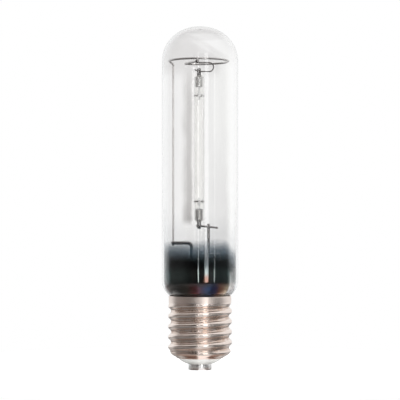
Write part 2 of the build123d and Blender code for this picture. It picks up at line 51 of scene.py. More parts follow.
DOME_TOP_R = 1.15 * BULB_R
DOME_KNUCKLE_R = 0.9 * BULB_R
DOME_LEAN = math.asin((BULB_R - DOME_KNUCKLE_R) / (DOME_TOP_R - DOME_KNUCKLE_R))
DOME_FOOT_Z = LAMP_LENGTH - DOME_TOP_R + (DOME_TOP_R - DOME_KNUCKLE_R) * math.cos(DOME_LEAN)

CAP_HEIGHT = 45.2
COLLAR_R = 19.2
COLLAR_FOOT_Z = 41.0
CREST_R = 19.65
ROOT_R = 17.85
MEAN_R = (CREST_R + ROOT_R) / 2
PITCH = 6.35
THREAD_ROUND = 1.85
THREAD_START_Z = 10.5
CREST_AT_X_Z = THREAD_START_Z + 2 * PITCH
SLEEVE_WALL = 0.55
LIP_R = 14.4
LIP_Z = 7.2
SHOULDER_FOOT_Z = 7.8
SHOULDER_SWELL = 0.16
CONTACT_R = 7.1
CONTACT_HEIGHT = 3.5
SOLDER_R = 2.6
SOLDER_DEPTH = 1.1
CONTACT_HOLE_R = 0.8
LEAD_HOLE_R = 1.0
BORE_R = ROOT_R - SLEEVE_WALL
LIP_BORE_R = LIP_R - SLEEVE_WALL
LIP_BEND_Z = 8.205
BORE_FOOT_Z = 11.39
BORE_TOP_Z = 40.5
COLLAR_BORE_FOOT_Z = 42.22
INSULATOR_TOP_Z = 12.9
CONE_SWELL = 0.42

ARC_X = -0.6
ARC_R = 3.1
ARC_BORE_R = 2.4
ARC_TOP_Z = 179.8
ARC_BOTTOM_Z = 91.8
ARC_MIDDLE_Z = (ARC_TOP_Z + ARC_BOTTOM_Z) / 2
NIOBIUM_R = 1.25
NIOBIUM_REACH = 5.5
NIOBIUM_SINK = 6.0
PLUG_LENGTH = 6.2
FRIT_R = 2.6
FRIT_HEIGHT = 1.0
ELECTRODE_R = 0.5
ELECTRODE_REACH = 8.0
ELECTRODE_SINK = 3.0
BAND_INSET = 11.4
STARTING_WIRE_R = 0.15
STARTING_WIRE_ANGLE = math.radians(-52.0)

WELD = 0.12
FRAME_R = 0.65
RING_Z = 189.6
RING_X = -0.65
RING_R = 18.2
RING_LEFT_X = RING_X - RING_R
ROD_STEP = 2.25
ROD_X = RING_LEFT_X + ROD_STEP
RING_SWEEP = math.radians(290.0)
TAIL_RUN = 3.4
ROD_Y = 2.5
ROD_BOTTOM_Z = 75.8
POST_X = 5.2
POST_R = 0.9
LEAD_X = -5.2
LEAD_R = 1.0
LEAD_BAR_Z = 77.6
PRESS_TOP_Z = 68.7
WIRE_JOINT_Z = 63.7
CROSS_R = 0.6
EXPANSION_R = 0.375
EXPANSION_Y = -(NIOBIUM_R + EXPANSION_R - WELD)
EXPANSION_TOP_Z = RING_Z - FRAME_R - EXPANSION_R + WELD
EXPANSION_LOW_Z = ARC_TOP_Z + 3.3
EXPANSION_X = 8.3
KNOT = Vector((-1.2, EXPANSION_Y - 0.6, RING_Z))
GETTER_X = 12.6
GETTER_Z = 63.5
GETTER_R = 4.2
GETTER_WIRE_R = 0.5

# Fineness of the meshes
BULB_SEGMENTS = 240
SLEEVE_SEGMENTS = 144
TURNED_SEGMENTS = 96
WIRE_SIDES = 16
SOLDER_SEGMENTS = 48
NIOBIUM_SEGMENTS = 40
PLUG_SEGMENTS = 56
ARC_SEGMENTS = 72
STRAP_SEGMENTS = 64
ELECTRODE_SIDES = 20
THIN_WIRE_SIDES = 12
STARTING_WIRE_SIDES = 10
WINDING_SIDES = 8
RING_STEPS = 84
BEND_ROWS = 18
WALL_ROWS = 12
KNUCKLE_ROWS = 44
DOME_ROWS = 18
FILM_ROWS = 10
THREAD_ROWS = 132
SHOULDER_ROWS = 9
CONE_ROWS = 14
ROUND_ROWS = 8
SHARP_ANGLE = math.radians(38.0)
POLE = 1e-6

# Domed ends of a wire: length and fall as shares of its radius, and the rows on each
WIRE_END_LENGTH = 0.35
WIRE_END_FALL = 0.6
WIRE_END_ROWS = (0.0, 0.33, 0.66, 1.0)


def smooth_step(value, low, high):
    """Rise from 0 at low to 1 at high with level ends."""
    share = min(max((value - low) / (high - low), 0.0), 1.0)
    return share * share * (3 - 2 * share)


def arc(centre, radius, start, end, steps):
    """Points (radius, height) on an arc, with angles from straight up."""
    angles = [start + (end - start) * step / steps for step in range(steps + 1)]
    return [(centre[0] + radius * math.sin(a), centre[1] + radius * math.cos(a)) for a in angles]


def lathe(profile, segments, centre_x=0.0):
    """Mesh turned round an upright axis: a profile with ends on the axis, or a closed loop."""
    points, rows = [], []
    for radius, height in profile:
        first = len(points)
        if radius < POLE:
            rows.append([first] * segments)
            points.append((centre_x, 0.0, height))
            continue
        rows.append([first + k for k in range(segments)])
        for k in range(segments):
            angle = 2 * math.pi * k / segments
            points.append((centre_x + radius * math.cos(angle), radius * math.sin(angle), height))
    return points, skin(rows, segments, profile[0][0] > POLE)


def skin(rows, segments, closed):
    """Faces between neighbouring rows of points, and from the last row to the first if closed."""
    pairs = list(zip(rows, rows[1:]))
    if closed:
        pairs.append((rows[-1], rows[0]))
    faces = []
    for low, high in pairs:
        for k in range(segments):
            after = (k + 1) % segments
            face = list(dict.fromkeys((low[k], low[after], high[after], high[k])))
            if len(face) > 2:
                faces.append(face)
    return faces


def bent_path(points, bends, steps=7):
    """Points along straight runs with a round bend at each inner corner."""
    corners = [Vector(p) for p in points]
    path = [corners[0]]
    for before, corner, after, radius in zip(corners, corners[1:], corners[2:], bends):
        to_before = (before - corner).normalized()
        to_after = (after - corner).normalized()
        half = to_before.angle(to_after) / 2
        centre = corner + (to_before + to_after).normalized() * radius / math.sin(half)
        start = corner + to_before * radius / math.tan(half) - centre
        end = corner + to_after * radius / math.tan(half) - centre
        turn = start.rotation_difference(end)
        for step in range(steps + 1):
            part = turn.copy()
            part.angle = turn.angle * step / steps
            path.append(centre + part @ start)
    path.append(corners[-1])
    return path


def wire(path, radius, sides=WIRE_SIDES):
    """Round wire along a path, with slightly domed ends."""
    line = [Vector(p) for p in path]
    tangents = []
    for k in range(len(line)):
        ahead = line[min(k + 1, len(line) - 1)] - line[max(k - 1, 0)]
        tangents.append(ahead.normalized())
    across = tangents[0].orthogonal().normalized()
    stations = []
    for k, (place, along) in enumerate(zip(line, tangents)):
        if k:
            across = tangents[k - 1].rotation_difference(along) @ across
            across = (across - along * across.dot(along)).normalized()
        stations.append((place, along, across, radius))
    dome = WIRE_END_LENGTH * radius
    first, last = stations[0], stations[-1]
    head, tail = [], []
    for share in WIRE_END_ROWS:
        size = radius * math.sqrt(1 - WIRE_END_FALL * share * share)
        head.insert(0, (first[0] + first[1] * dome * (1 - share), first[1], first[2], size))
        tail.append((last[0] - last[1] * dome * (1 - share), last[1], last[2], size))
    points, rows = [tuple(line[0])], [[0] * sides]
    for place, along, side, size in head + stations[1:-1] + tail:
        up = along.cross(side)
        rows.append([len(points) + k for k in range(sides)])
        for k in range(sides):
            angle = 2 * math.pi * k / sides
            points.append(tuple(place + (side * math.cos(angle) + up * math.sin(angle)) * size))
    rows.append([len(points)] * sides)
    points.append(tuple(line[-1]))
    return points, skin(rows, sides, False)


def joined(*shapes):
    """Several closed meshes as one."""
    points, faces = [], []
    for some_points, some_faces in shapes:
        first = len(points)
        points += some_points
        faces += [[first + k for k in face] for face in some_faces]
    return points, faces


def add_piece(name, shape, finish, slot, *nodes):
    """One closed smooth mesh that rides on the lamp and stands for the named solids."""
    mesh = bpy.data.meshes.new(name)
    mesh.from_pydata([[value * MM for value in point] for point in shape[0]], [], shape[1])
    work = bmesh.new()
    work.from_mesh(mesh)
    bmesh.ops.recalc_face_normals(work, faces=work.faces)
    if work.calc_volume(signed=True) < 0:
        bmesh.ops.reverse_faces(work, faces=work.faces)
    work.to_mesh(mesh)
    work.free()
    mesh.shade_smooth()
    mesh.set_sharp_from_angle(angle=SHARP_ANGLE)
    mesh.materials.append(finish)
    piece = bpy.data.objects.new(name, mesh)
    bpy.context.scene.collection.objects.link(piece)
    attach(piece, "root")
    if nodes:
        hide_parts(*nodes)
    return piece


def dress_solid(node, finish):
    """Give a CAD solid that keeps its own shape its finish."""
    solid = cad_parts[node]
    solid.data.materials.clear()
    solid.data.materials.append(finish)


# Shader nodes


def fill(socket, value):
    """Link a socket to another one, or give it a plain value."""
    if isinstance(value, bpy.types.NodeSocket):
        socket.id_data.links.new(value, socket)
    else:
        socket.default_value = value


def put(tree, kind, settings=None, inputs=None):
    """Add a shader node, set its properties, and link or fill its inputs."""
    node = tree.nodes.new(kind)
    for name, value in (settings or {}).items():
        setattr(node, name, value)
    for name, value in (inputs or {}).items():
        fill(node.inputs[name], value)
    return node


def feed(sockets, **values):
    """Link or fill the named sockets, with _ for a space in a name."""
    for name, value in values.items():
        fill(sockets[name.replace("_", " ")], value)


def maths(operation, first, second=0.0):
    """One sum of two values, at least one of them a socket."""
    given = first if isinstance(first, bpy.types.NodeSocket) else second
    return put(given.id_data, "ShaderNodeMath", {"operation": operation}, {0: first, 1: second}).outputs[0]


def times(first, *others):
    """Product of values."""
    for other in others:
        first = maths("MULTIPLY", first, other)
    return first


def plus(first, *others):
    """Sum of values."""
    for other in others:
        first = maths("ADD", first, other)
    return first


def minus(first, second):
    """First value less the second."""
    return maths("SUBTRACT", first, second)


def larger(first, second):
    """Larger of two values."""
    return maths("MAXIMUM", first, second)


def part_way(value, start, run):
    """How far a value is along a run from its start, as a share of the run."""
    return maths("DIVIDE", minus(value, start), run)


def between(value, low, high, start=0.0, end=1.0):
    """Smooth change from start at low to end at high."""
    return put(value.id_data, "ShaderNodeMapRange", {"interpolation_type": "SMOOTHSTEP"}, {
        "Value": value,
        "From Min": low,
        "From Max": high,
        "To Min": start,
        "To Max": end,
    }).outputs["Result"]


def spread(share, start, end):
    """Smooth change from start where a share is 0 to end where it is 1."""
    return between(share, 0.0, 1.0, start, end)


def band(value, rise, fall):
    """Mask between two edges, each given as where it is 0 and where it is 1."""
    return times(between(value, *rise), between(value, *fall))


def beyond(value, left, right):
    """Mask outside two edges, each given as where it is 0 and where it is 1."""
    return larger(between(value, *left), between(value, *right))


def opaque(colour):
    """Colour with full alpha, from red, green and blue or from one grey value. A socket stays as it is."""
    if isinstance(colour, bpy.types.NodeSocket):
        return colour
    if isinstance(colour, float):
        colour = (colour, colour, colour)
    return (*colour, 1.0)


def blend_colours(share, first, second):
    """Mix of two colours by a share."""
    node = put(share.id_data, "ShaderNodeMix", {"data_type": "RGBA"})
    for socket, value in (("Factor", share), (6, opaque(first)), (7, opaque(second))):
        fill(node.inputs[socket], value)
    return node.outputs[2]


def layered(colour, *layers):
    """Colour with others laid over it in turn, each by its own mask."""
    for mask, over in layers:
        colour = blend_colours(mask, colour, over)
    return colour


def ramp(value, stops):
    """Colour ramp through (place, colour) stops."""
    node = put(value.id_data, "ShaderNodeValToRGB", None, {"Fac": value})
    elements = node.color_ramp.elements
    while len(elements) < len(stops):
        elements.new(1.0)
    for element, (place, colour) in zip(elements, stops):
        element.position = place
        element.color = opaque(colour)
    return node.outputs["Color"]


def new_group(name, inputs, *outputs):
    """Empty shader node group with named float sockets."""
    tree = bpy.data.node_groups.new(name, "ShaderNodeTree")
    for socket, value in inputs.items():
        made = tree.interface.new_socket(socket, in_out="INPUT", socket_type="NodeSocketFloat")
        made.default_value = value
    for socket in outputs:
        tree.interface.new_socket(socket, in_out="OUTPUT", socket_type="NodeSocketFloat")
    given = tree.nodes.new("NodeGroupInput").outputs
    result = tree.nodes.new("NodeGroupOutput").inputs
    return tree, given, result


def bearing(axes):
    """Angle round the upright axis, from the front to the right."""
    return maths("ARCTAN2", axes["X"], times(axes["Y"], -1.0))


def group_place_on_lamp():
    """Height and radius in millimetres, turns from the front, and side from -1 at the left to 1."""
    tree, _, result = new_group("place_on_lamp", {}, "Height", "Radius", "Turn", "Side")
    coords = put(tree, "ShaderNodeTexCoord").outputs["Object"]
    axes = put(tree, "ShaderNodeSeparateXYZ", None, {0: coords}).outputs
    squares = plus(maths("POWER", axes["X"], 2.0), maths("POWER", axes["Y"], 2.0))
    turn = maths("DIVIDE", bearing(axes), 2 * math.pi)
    feed(
        result,
        Height=times(axes["Z"], 1 / MM),
        Radius=times(maths("SQRT", squares), 1 / MM),
        Turn=turn,
        Side=maths("SINE", times(turn, 2 * math.pi)),
    )
    return tree


def group_mottle():
    """Soft cloudy variation from 0 to 1, with a height for bump."""
    tree, given, result = new_group("mottle", {"Scale": 400.0}, "Value", "Height")
    cloud = put(tree, "ShaderNodeTexNoise", None, {
        "Vector": put(tree, "ShaderNodeTexCoord").outputs["Object"],
        "Scale": given["Scale"],
        "Detail": 4.0,
        "Roughness": 0.6,
    }).outputs["Fac"]
    stretched = put(tree, "ShaderNodeMapRange", None, {"Value": cloud, "From Min": 0.3, "From Max": 0.7})
    feed(result, Value=stretched.outputs["Result"], Height=cloud)
    return tree


def group_drawn_lines():
    """Fine upright lines left by drawing or rolling: noise squeezed across them and stretched along them."""
    tree, given, result = new_group("drawn_lines", {"Across": 3000.0, "Along": 60.0}, "Value")
    coords = put(tree, "ShaderNodeTexCoord").outputs["Object"]
    stretch = put(tree, "ShaderNodeCombineXYZ", None, {
        "X": given["Across"],
        "Y": given["Across"],
        "Z": given["Along"],
    }).outputs[0]
    laid = put(tree, "ShaderNodeVectorMath", {"operation": "MULTIPLY"}, {0: coords, 1: stretch}).outputs[0]
    lines = put(tree, "ShaderNodeTexNoise", None, {
        "Vector": laid,
        "Scale": 1.0,
        "Detail": 3.0,
        "Roughness": 0.55,
    }).outputs["Fac"]
    feed(result, Value=lines)
    return tree


PLACE = group_place_on_lamp()
MOTTLE = group_mottle()
DRAWN = group_drawn_lines()


def use_group(tree, group, **values):
    """Place a node group in a material with its own values."""
    node = put(tree, "ShaderNodeGroup", {"node_tree": group})
    feed(node.inputs, **values)
    return node.outputs


def bare_material(name):
    """Material with an empty node tree."""
    finish = bpy.data.materials.new(name)
    finish.use_nodes = True
    finish.node_tree.nodes.clear()
    return finish, finish.node_tree


def new_finish(name, **plain):
    """Material with a Principled surface whose plain values are set on its own sockets."""
    finish, tree = bare_material(name)
    surface = put(tree, "ShaderNodeBsdfPrincipled")
    feed(surface.inputs, **plain)
    output = put(tree, "ShaderNodeOutputMaterial")
    feed(output.inputs, Surface=surface.outputs[0])
    return finish, tree, surface.inputs


def add_bump(surface, height, depth, strength=1.0):
    """Fine relief from a height, depth in millimetres."""
    relief = put(height.id_data, "ShaderNodeBump", None, {
        "Height": height,
        "Distance": depth * MM,
        "Strength": strength,
    })
    feed(surface, Normal=relief.outputs["Normal"])


def finish_mottled(name, scale, first, second, rough=None, relief=None, **plain):
    """Two tones in soft clouds, with a range of roughness and a relief in millimetres if given."""
    finish, tree, surface = new_finish(name, **plain)
    cloud = use_group(tree, MOTTLE, Scale=scale)
    feed(surface, Base_Color=blend_colours(cloud["Value"], first, second))
    if rough:
        feed(surface, Roughness=spread(cloud["Value"], *rough))
    if relief:
        add_bump(surface, cloud["Height"], relief)
    return finish


def finish_nickel_sleeve():
    """Warm nickel on rolled sheet: dull brown in the roots, rubbed bright on the crests."""
    finish, tree, surface = new_finish("nickel_sleeve", Anisotropic=0.3)
    round_sleeve = put(tree, "ShaderNodeTangent", {"direction_type": "RADIAL", "axis": "Z"})
    place = use_group(tree, PLACE)
    cloud = use_group(tree, MOTTLE, Scale=260.0)
    fleck = use_group(tree, MOTTLE, Scale=1500.0)
    drawn = use_group(tree, DRAWN, Across=3600.0, Along=160.0)
    dents = use_group(tree, DRAWN, Across=420.0, Along=150.0)
    root = between(place["Radius"], ROOT_R + 0.9, ROOT_R - 0.1)
    thread = between(place["Height"], THREAD_START_Z - 1.5, THREAD_START_Z + 1.5)
    stain = times(root, thread, spread(cloud["Value"], 0.25, 1.0))
    plate = blend_colours(fleck["Value"], (0.91, 0.805, 0.745), (0.83, 0.72, 0.655))
    collar = between(place["Height"], COLLAR_FOOT_Z - 1.0, COLLAR_FOOT_Z + 1.0, 0.0, 0.14)
    rough = plus(spread(cloud["Value"], 0.16, 0.22), collar)
    rough = plus(rough, times(stain, 0.04), times(drawn["Value"], 0.06))
    feed(
        surface,
        Tangent=round_sleeve.outputs["Tangent"],
        Base_Color=blend_colours(stain, plate, (0.50, 0.345, 0.265)),
        Metallic=spread(stain, 1.0, 0.95),
        Roughness=rough,
    )
    relief = plus(times(drawn["Value"], 0.15), times(dents["Value"], 2.0))
    add_bump(surface, relief, 0.010)
    return finish


def finish_contact_button():
    """Turned nickel-plated brass with fine rings on its face."""
    finish, tree, surface = new_finish("contact_button", Metallic=0.85)
    place = use_group(tree, PLACE)
    cloud = use_group(tree, MOTTLE, Scale=500.0)
    rings = put(tree, "ShaderNodeTexNoise", {"noise_dimensions": "1D"}, {
        "W": place["Radius"],
        "Scale": 9.0,
        "Detail": 2.0,
    })
    feed(
        surface,
        Base_Color=blend_colours(cloud["Value"], (0.96, 0.955, 0.95), (0.84, 0.835, 0.83)),
        Roughness=spread(cloud["Value"], 0.16, 0.30),
    )
    add_bump(surface, rings.outputs["Fac"], 0.03, 0.6)
    return finish


def finish_solder():
    """Tin solder, bright where it ran and grey where it set last."""
    return finish_mottled(
        "tin_solder", 900.0, (0.76, 0.76, 0.77), (0.50, 0.50, 0.51),
        rough=(0.22, 0.50), relief=0.15, Metallic=1.0)


def finish_cement():
    """Dry grainy cement."""
    return finish_mottled(
        "dry_cement", 1800.0, (0.62, 0.58, 0.50), (0.46, 0.43, 0.37),
        relief=0.3, Roughness=0.9)


def finish_stem_glass():
    """Clear stem glass, a little wavy from the flame."""
    return finish_mottled(
        "stem_glass", 160.0, (0.97, 0.98, 0.98), (0.92, 0.935, 0.94),
        relief=0.1, IOR=1.5, Transmission_Weight=1.0, Roughness=0.02)


def finish_arc_ceramic():
    """Translucent alumina: milky, with a fine grain."""
    return finish_mottled(
        "arc_ceramic", 900.0, (0.965, 0.965, 0.96), (0.945, 0.945, 0.935),
        rough=(0.12, 0.18), IOR=1.10, Transmission_Weight=0.95, Specular_IOR_Level=0.2)


def finish_sealing_frit():
    """Sealing glass: cloudy and half clear, with a fine grain."""
    return finish_mottled(
        "sealing_frit", 1200.0, (0.94, 0.93, 0.90), (0.84, 0.83, 0.80),
        rough=(0.15, 0.30), relief=0.03, IOR=1.10, Transmission_Weight=0.88)


def finish_insulator():
    """Pale grey-green pressed glass with soft clouds, a few dark specks and a smooth skin."""
    finish, tree, surface = new_finish("insulator_glass", IOR=1.52, Coat_Weight=0.4, Coat_Roughness=0.06)
    cloud = use_group(tree, MOTTLE, Scale=230.0)
    speck = use_group(tree, MOTTLE, Scale=2600.0)
    body = blend_colours(cloud["Value"], (0.96, 0.965, 0.94), (0.90, 0.915, 0.885))
    dark = times(between(speck["Height"], 0.66, 0.72), 0.35)
    feed(
        surface,
        Base_Color=blend_colours(dark, body, (0.34, 0.35, 0.33)),
        Roughness=spread(cloud["Value"], 0.14, 0.26),
    )
    add_bump(surface, cloud["Height"], 0.12)
    return finish


# Painted shade, painted shadow and a painted reflection in the bulb's glass, and its tip mark: each pair
# says where a mark is 0 and where it is 1
SHADE_STREAK_LEFT = (0.235, 0.345)
SHADE_STREAK_FOOT_Z = 85.0
SHADE_STREAK_RUN = 105.0
LOW_RIGHT_SHADE_ACROSS = ((0.58, 0.70), (0.91, 0.84))
LOW_RIGHT_SHADE_Z = (160.0, 95.0)
DOME_REFLECTION_SLOPE = 1.69
DOME_REFLECTION_EDGE = (336.5, 342.0)
DOME_REFLECTION_TOP_Z = (205.8, 204.0)
DOME_SHADE_Z = (DOME_FOOT_Z - 4.0, DOME_FOOT_Z + 6.0)
RING_SHADOW_Z = (DOME_FOOT_Z - 11.0, DOME_FOOT_Z - 3.0)
RING_SHADOW_RIGHT_EDGE = (0.81, 0.72)
TIP_MARK_R = (1.2, 0.6)


def finish_bulb_glass():
    """Clear hard glass with the long waves of drawn tube and a tip mark; its tint holds painted shade across
    its width, a painted shade streak left of the arc tube, painted shade low on the right, painted dome
    shade with a lighter painted reflection, and a painted shadow of the ring.
    """
    finish, tree, surface = new_finish("bulb_glass", IOR=1.32, Transmission_Weight=1.0, Roughness=0.0)
    place = use_group(tree, PLACE)
    waves = use_group(tree, DRAWN, Across=150.0, Along=9.0)
    haze = use_group(tree, MOTTLE, Scale=45.0)
    height = place["Height"]
    drift = times(minus(haze["Value"], 0.5), 0.10)
    across = times(plus(place["Side"], drift, 1.0), 0.5)
    # Grey tint of the glass with painted shade by side: darker on the left and where a panel's highlight
    # would fall, lighter painted edges on the right
    tint_and_painted_shade = ramp(across, (
        (0.00, (0.975, 0.974, 0.973)),
        (0.08, (0.945, 0.944, 0.943)),
        (0.20, (0.972, 0.970, 0.968)),
        (0.40, (0.955, 0.950, 0.945)),
        (0.52, (0.948, 0.945, 0.940)),
        (0.57, (0.925, 0.923, 0.920)),
        (0.62, (0.948, 0.947, 0.943)),
        (0.72, (0.965, 0.965, 0.960)),
        (0.80, (0.955, 0.955, 0.950)),
        (0.88, (0.995, 0.995, 0.990)),
        (1.00, (0.998, 0.998, 0.998)),
    ))
    # Painted shade streak left of the arc tube, soft at its right edge and fading up the tube
    fade = plus(
        between(across, 0.405, 0.370, 0.0, 0.75),
        between(across, 0.472, 0.445, 0.0, 0.25),
    )
    strength = ramp(part_way(height, SHADE_STREAK_FOOT_Z, SHADE_STREAK_RUN), (
        (0.03, 0.00),
        (0.07, 0.94),
        (0.18, 0.72),
        (0.48, 0.57),
        (0.76, 0.55),
        (0.89, 0.38),
        (1.00, 0.25),
    ))
    painted_shade_streak = times(between(across, *SHADE_STREAK_LEFT), fade, strength)
    # Painted shade on the lower right of the glass
    painted_low_right_shade = times(band(across, *LOW_RIGHT_SHADE_ACROSS), between(height, *LOW_RIGHT_SHADE_Z))
    # Painted dome shade: the dome tinted greyer, with a lighter painted reflection below a slanted edge
    slant = plus(times(place["Radius"], place["Side"]), times(height, DOME_REFLECTION_SLOPE))
    painted_dome_reflection = times(between(slant, *DOME_REFLECTION_EDGE), between(height, *DOME_REFLECTION_TOP_Z))
    dome = blend_colours(painted_dome_reflection, (0.890, 0.884, 0.882), (0.970, 0.968, 0.966))
    # Painted shadow of the support ring on the glass just below the dome, fading out towards the right
    painted_ring_shadow = times(between(height, *RING_SHADOW_Z), between(across, *RING_SHADOW_RIGHT_EDGE))
    painted_dome_shade = larger(between(height, *DOME_SHADE_Z), painted_ring_shadow)
    tip = times(between(place["Radius"], *TIP_MARK_R), painted_dome_shade)
    feed(surface, Base_Color=layered(
        tint_and_painted_shade,
        (painted_shade_streak, (0.69, 0.68, 0.675)),
        (painted_low_right_shade, (0.915, 0.913, 0.911)),
        (painted_dome_shade, dome),
        (tip, (0.62, 0.61, 0.60)),
    ))
    add_bump(surface, waves["Value"], 0.02, 0.5)
    return finish


def finish_drawn_wire(name, bright, dark, rough, metallic=1.0, mirror_from=None):
    """Drawn metal wire: lines along it, cloudy oxide, and a full mirror finish from a height up if one is
    given, a painted difference in shade that makes the part below read lighter.
    """
    finish, tree, surface = new_finish(name, Metallic=metallic)
    if mirror_from:
        height = use_group(tree, PLACE)["Height"]
        feed(surface, Metallic=between(height, mirror_from, mirror_from + 3.0, metallic, 1.0))
    lines = use_group(tree, DRAWN, Across=4200.0, Along=220.0)
    oxide = use_group(tree, MOTTLE, Scale=320.0)
    share = times(oxide["Value"], between(lines["Value"], 0.3, 0.7, 0.6, 1.0))
    feed(
        surface,
        Base_Color=blend_colours(share, bright, dark),
        Roughness=spread(oxide["Value"], *rough),
    )
    add_bump(surface, lines["Value"], 0.02)
    return finish


def upper_half(height):
    """Mask of the arc tube's upper half."""
    return between(height, ARC_MIDDLE_Z - 5.0, ARC_MIDDLE_Z + 5.0)


def finish_starting_aid():
    """Bright thin wire with duller straps at its two ends, the upper one paler."""
    finish, tree, surface = new_finish("starting_aid")
    place = use_group(tree, PLACE)
    cloud = use_group(tree, MOTTLE, Scale=900.0)
    reach = (ARC_TOP_Z - ARC_BOTTOM_Z) / 2 - BAND_INSET
    away = maths("ABSOLUTE", minus(place["Height"], ARC_MIDDLE_Z))
    strap = between(away, reach - 0.8, reach - 0.5)
    upper = upper_half(place["Height"])
    bright = blend_colours(cloud["Value"], (0.95, 0.945, 0.94), (0.86, 0.855, 0.85))
    dull = blend_colours(cloud["Value"], (0.66, 0.65, 0.64), (0.34, 0.33, 0.325))
    dull = blend_colours(upper, dull, (0.74, 0.735, 0.73))
    feed(
        surface,
        Base_Color=blend_colours(strap, bright, dull),
        Metallic=spread(times(strap, spread(upper, 1.0, 0.55)), 0.3, 1.0),
        Roughness=spread(cloud["Value"], 0.14, 0.28),
    )
    add_bump(surface, cloud["Height"], 0.02)
    return finish


def finish_darkened_plug():
    """Dense ceramic greyed by sputtered metal, most at the lower end."""
    finish, tree, surface = new_finish("darkened_alumina", Metallic=0.75)
    place = use_group(tree, PLACE)
    grain = use_group(tree, MOTTLE, Scale=1200.0)
    upper = blend_colours(grain["Value"], (0.68, 0.675, 0.67), (0.56, 0.555, 0.55))
    lower = blend_colours(grain["Value"], (0.44, 0.43, 0.42), (0.32, 0.31, 0.30))
    feed(
        surface,
        Base_Color=blend_colours(upper_half(place["Height"]), lower, upper),
        Roughness=spread(grain["Value"], 0.08, 0.15),
    )
    add_bump(surface, grain["Height"], 0.02)
    return finish


# Zones of the getter film: each pair says where a zone is 0 and where it is 1
FILM_FADE_FOOT_Z = 62.0
FILM_FADE_RUN = 22.0
FILM_MIRROR_FOOT_Z = 50.0
FILM_MIRROR_RUN = 18.0
FILM_THIN_SIDE = (0.70, 0.92)
FILM_WINDOW_SIDE = (0.745, 0.815)
FILM_WINDOW_Z = (61.5, 59.5)
FILM_WINDOW_CLEARS_Z = (58.0, 49.0)
FILM_RIGHT_EDGE_SIDE = (0.86, 0.98)
FILM_RIGHT_EDGE_Z = (51.5, 55.5)
FILM_LEFT_EDGE_SIDE = (-0.78, -0.96)
FILM_LEFT_EDGE_Z = (50.0, 54.0)
FILM_DARK_REFLECTION_SIDE = (0.68, 0.80)
FILM_DARK_REFLECTION_Z = (67.0, 62.5)
FILM_HAZE_Z = (98.0, 78.0)
FILM_THICK_Z = (74.0, 65.5)
FILM_METAL_Z = (72.0, 65.0)
FILM_SMOOTH_Z = (70.0, 62.0)
FILM_FRONT_HIGHLIGHT_TURN = ((-0.045, -0.025), (0.080, 0.060))
FILM_BLUSH_TURN = ((0.000, 0.018), (0.052, 0.030))
FILM_BLUSH_Z = (59.0, 55.0)
FILM_RIM_Z = (55.0, 52.0)
FILM_LINE_Z = ((50.6, 51.8), (54.2, 53.0))
OIL_ORDERS_A_TURN = 4.0
OIL_START = 0.4444


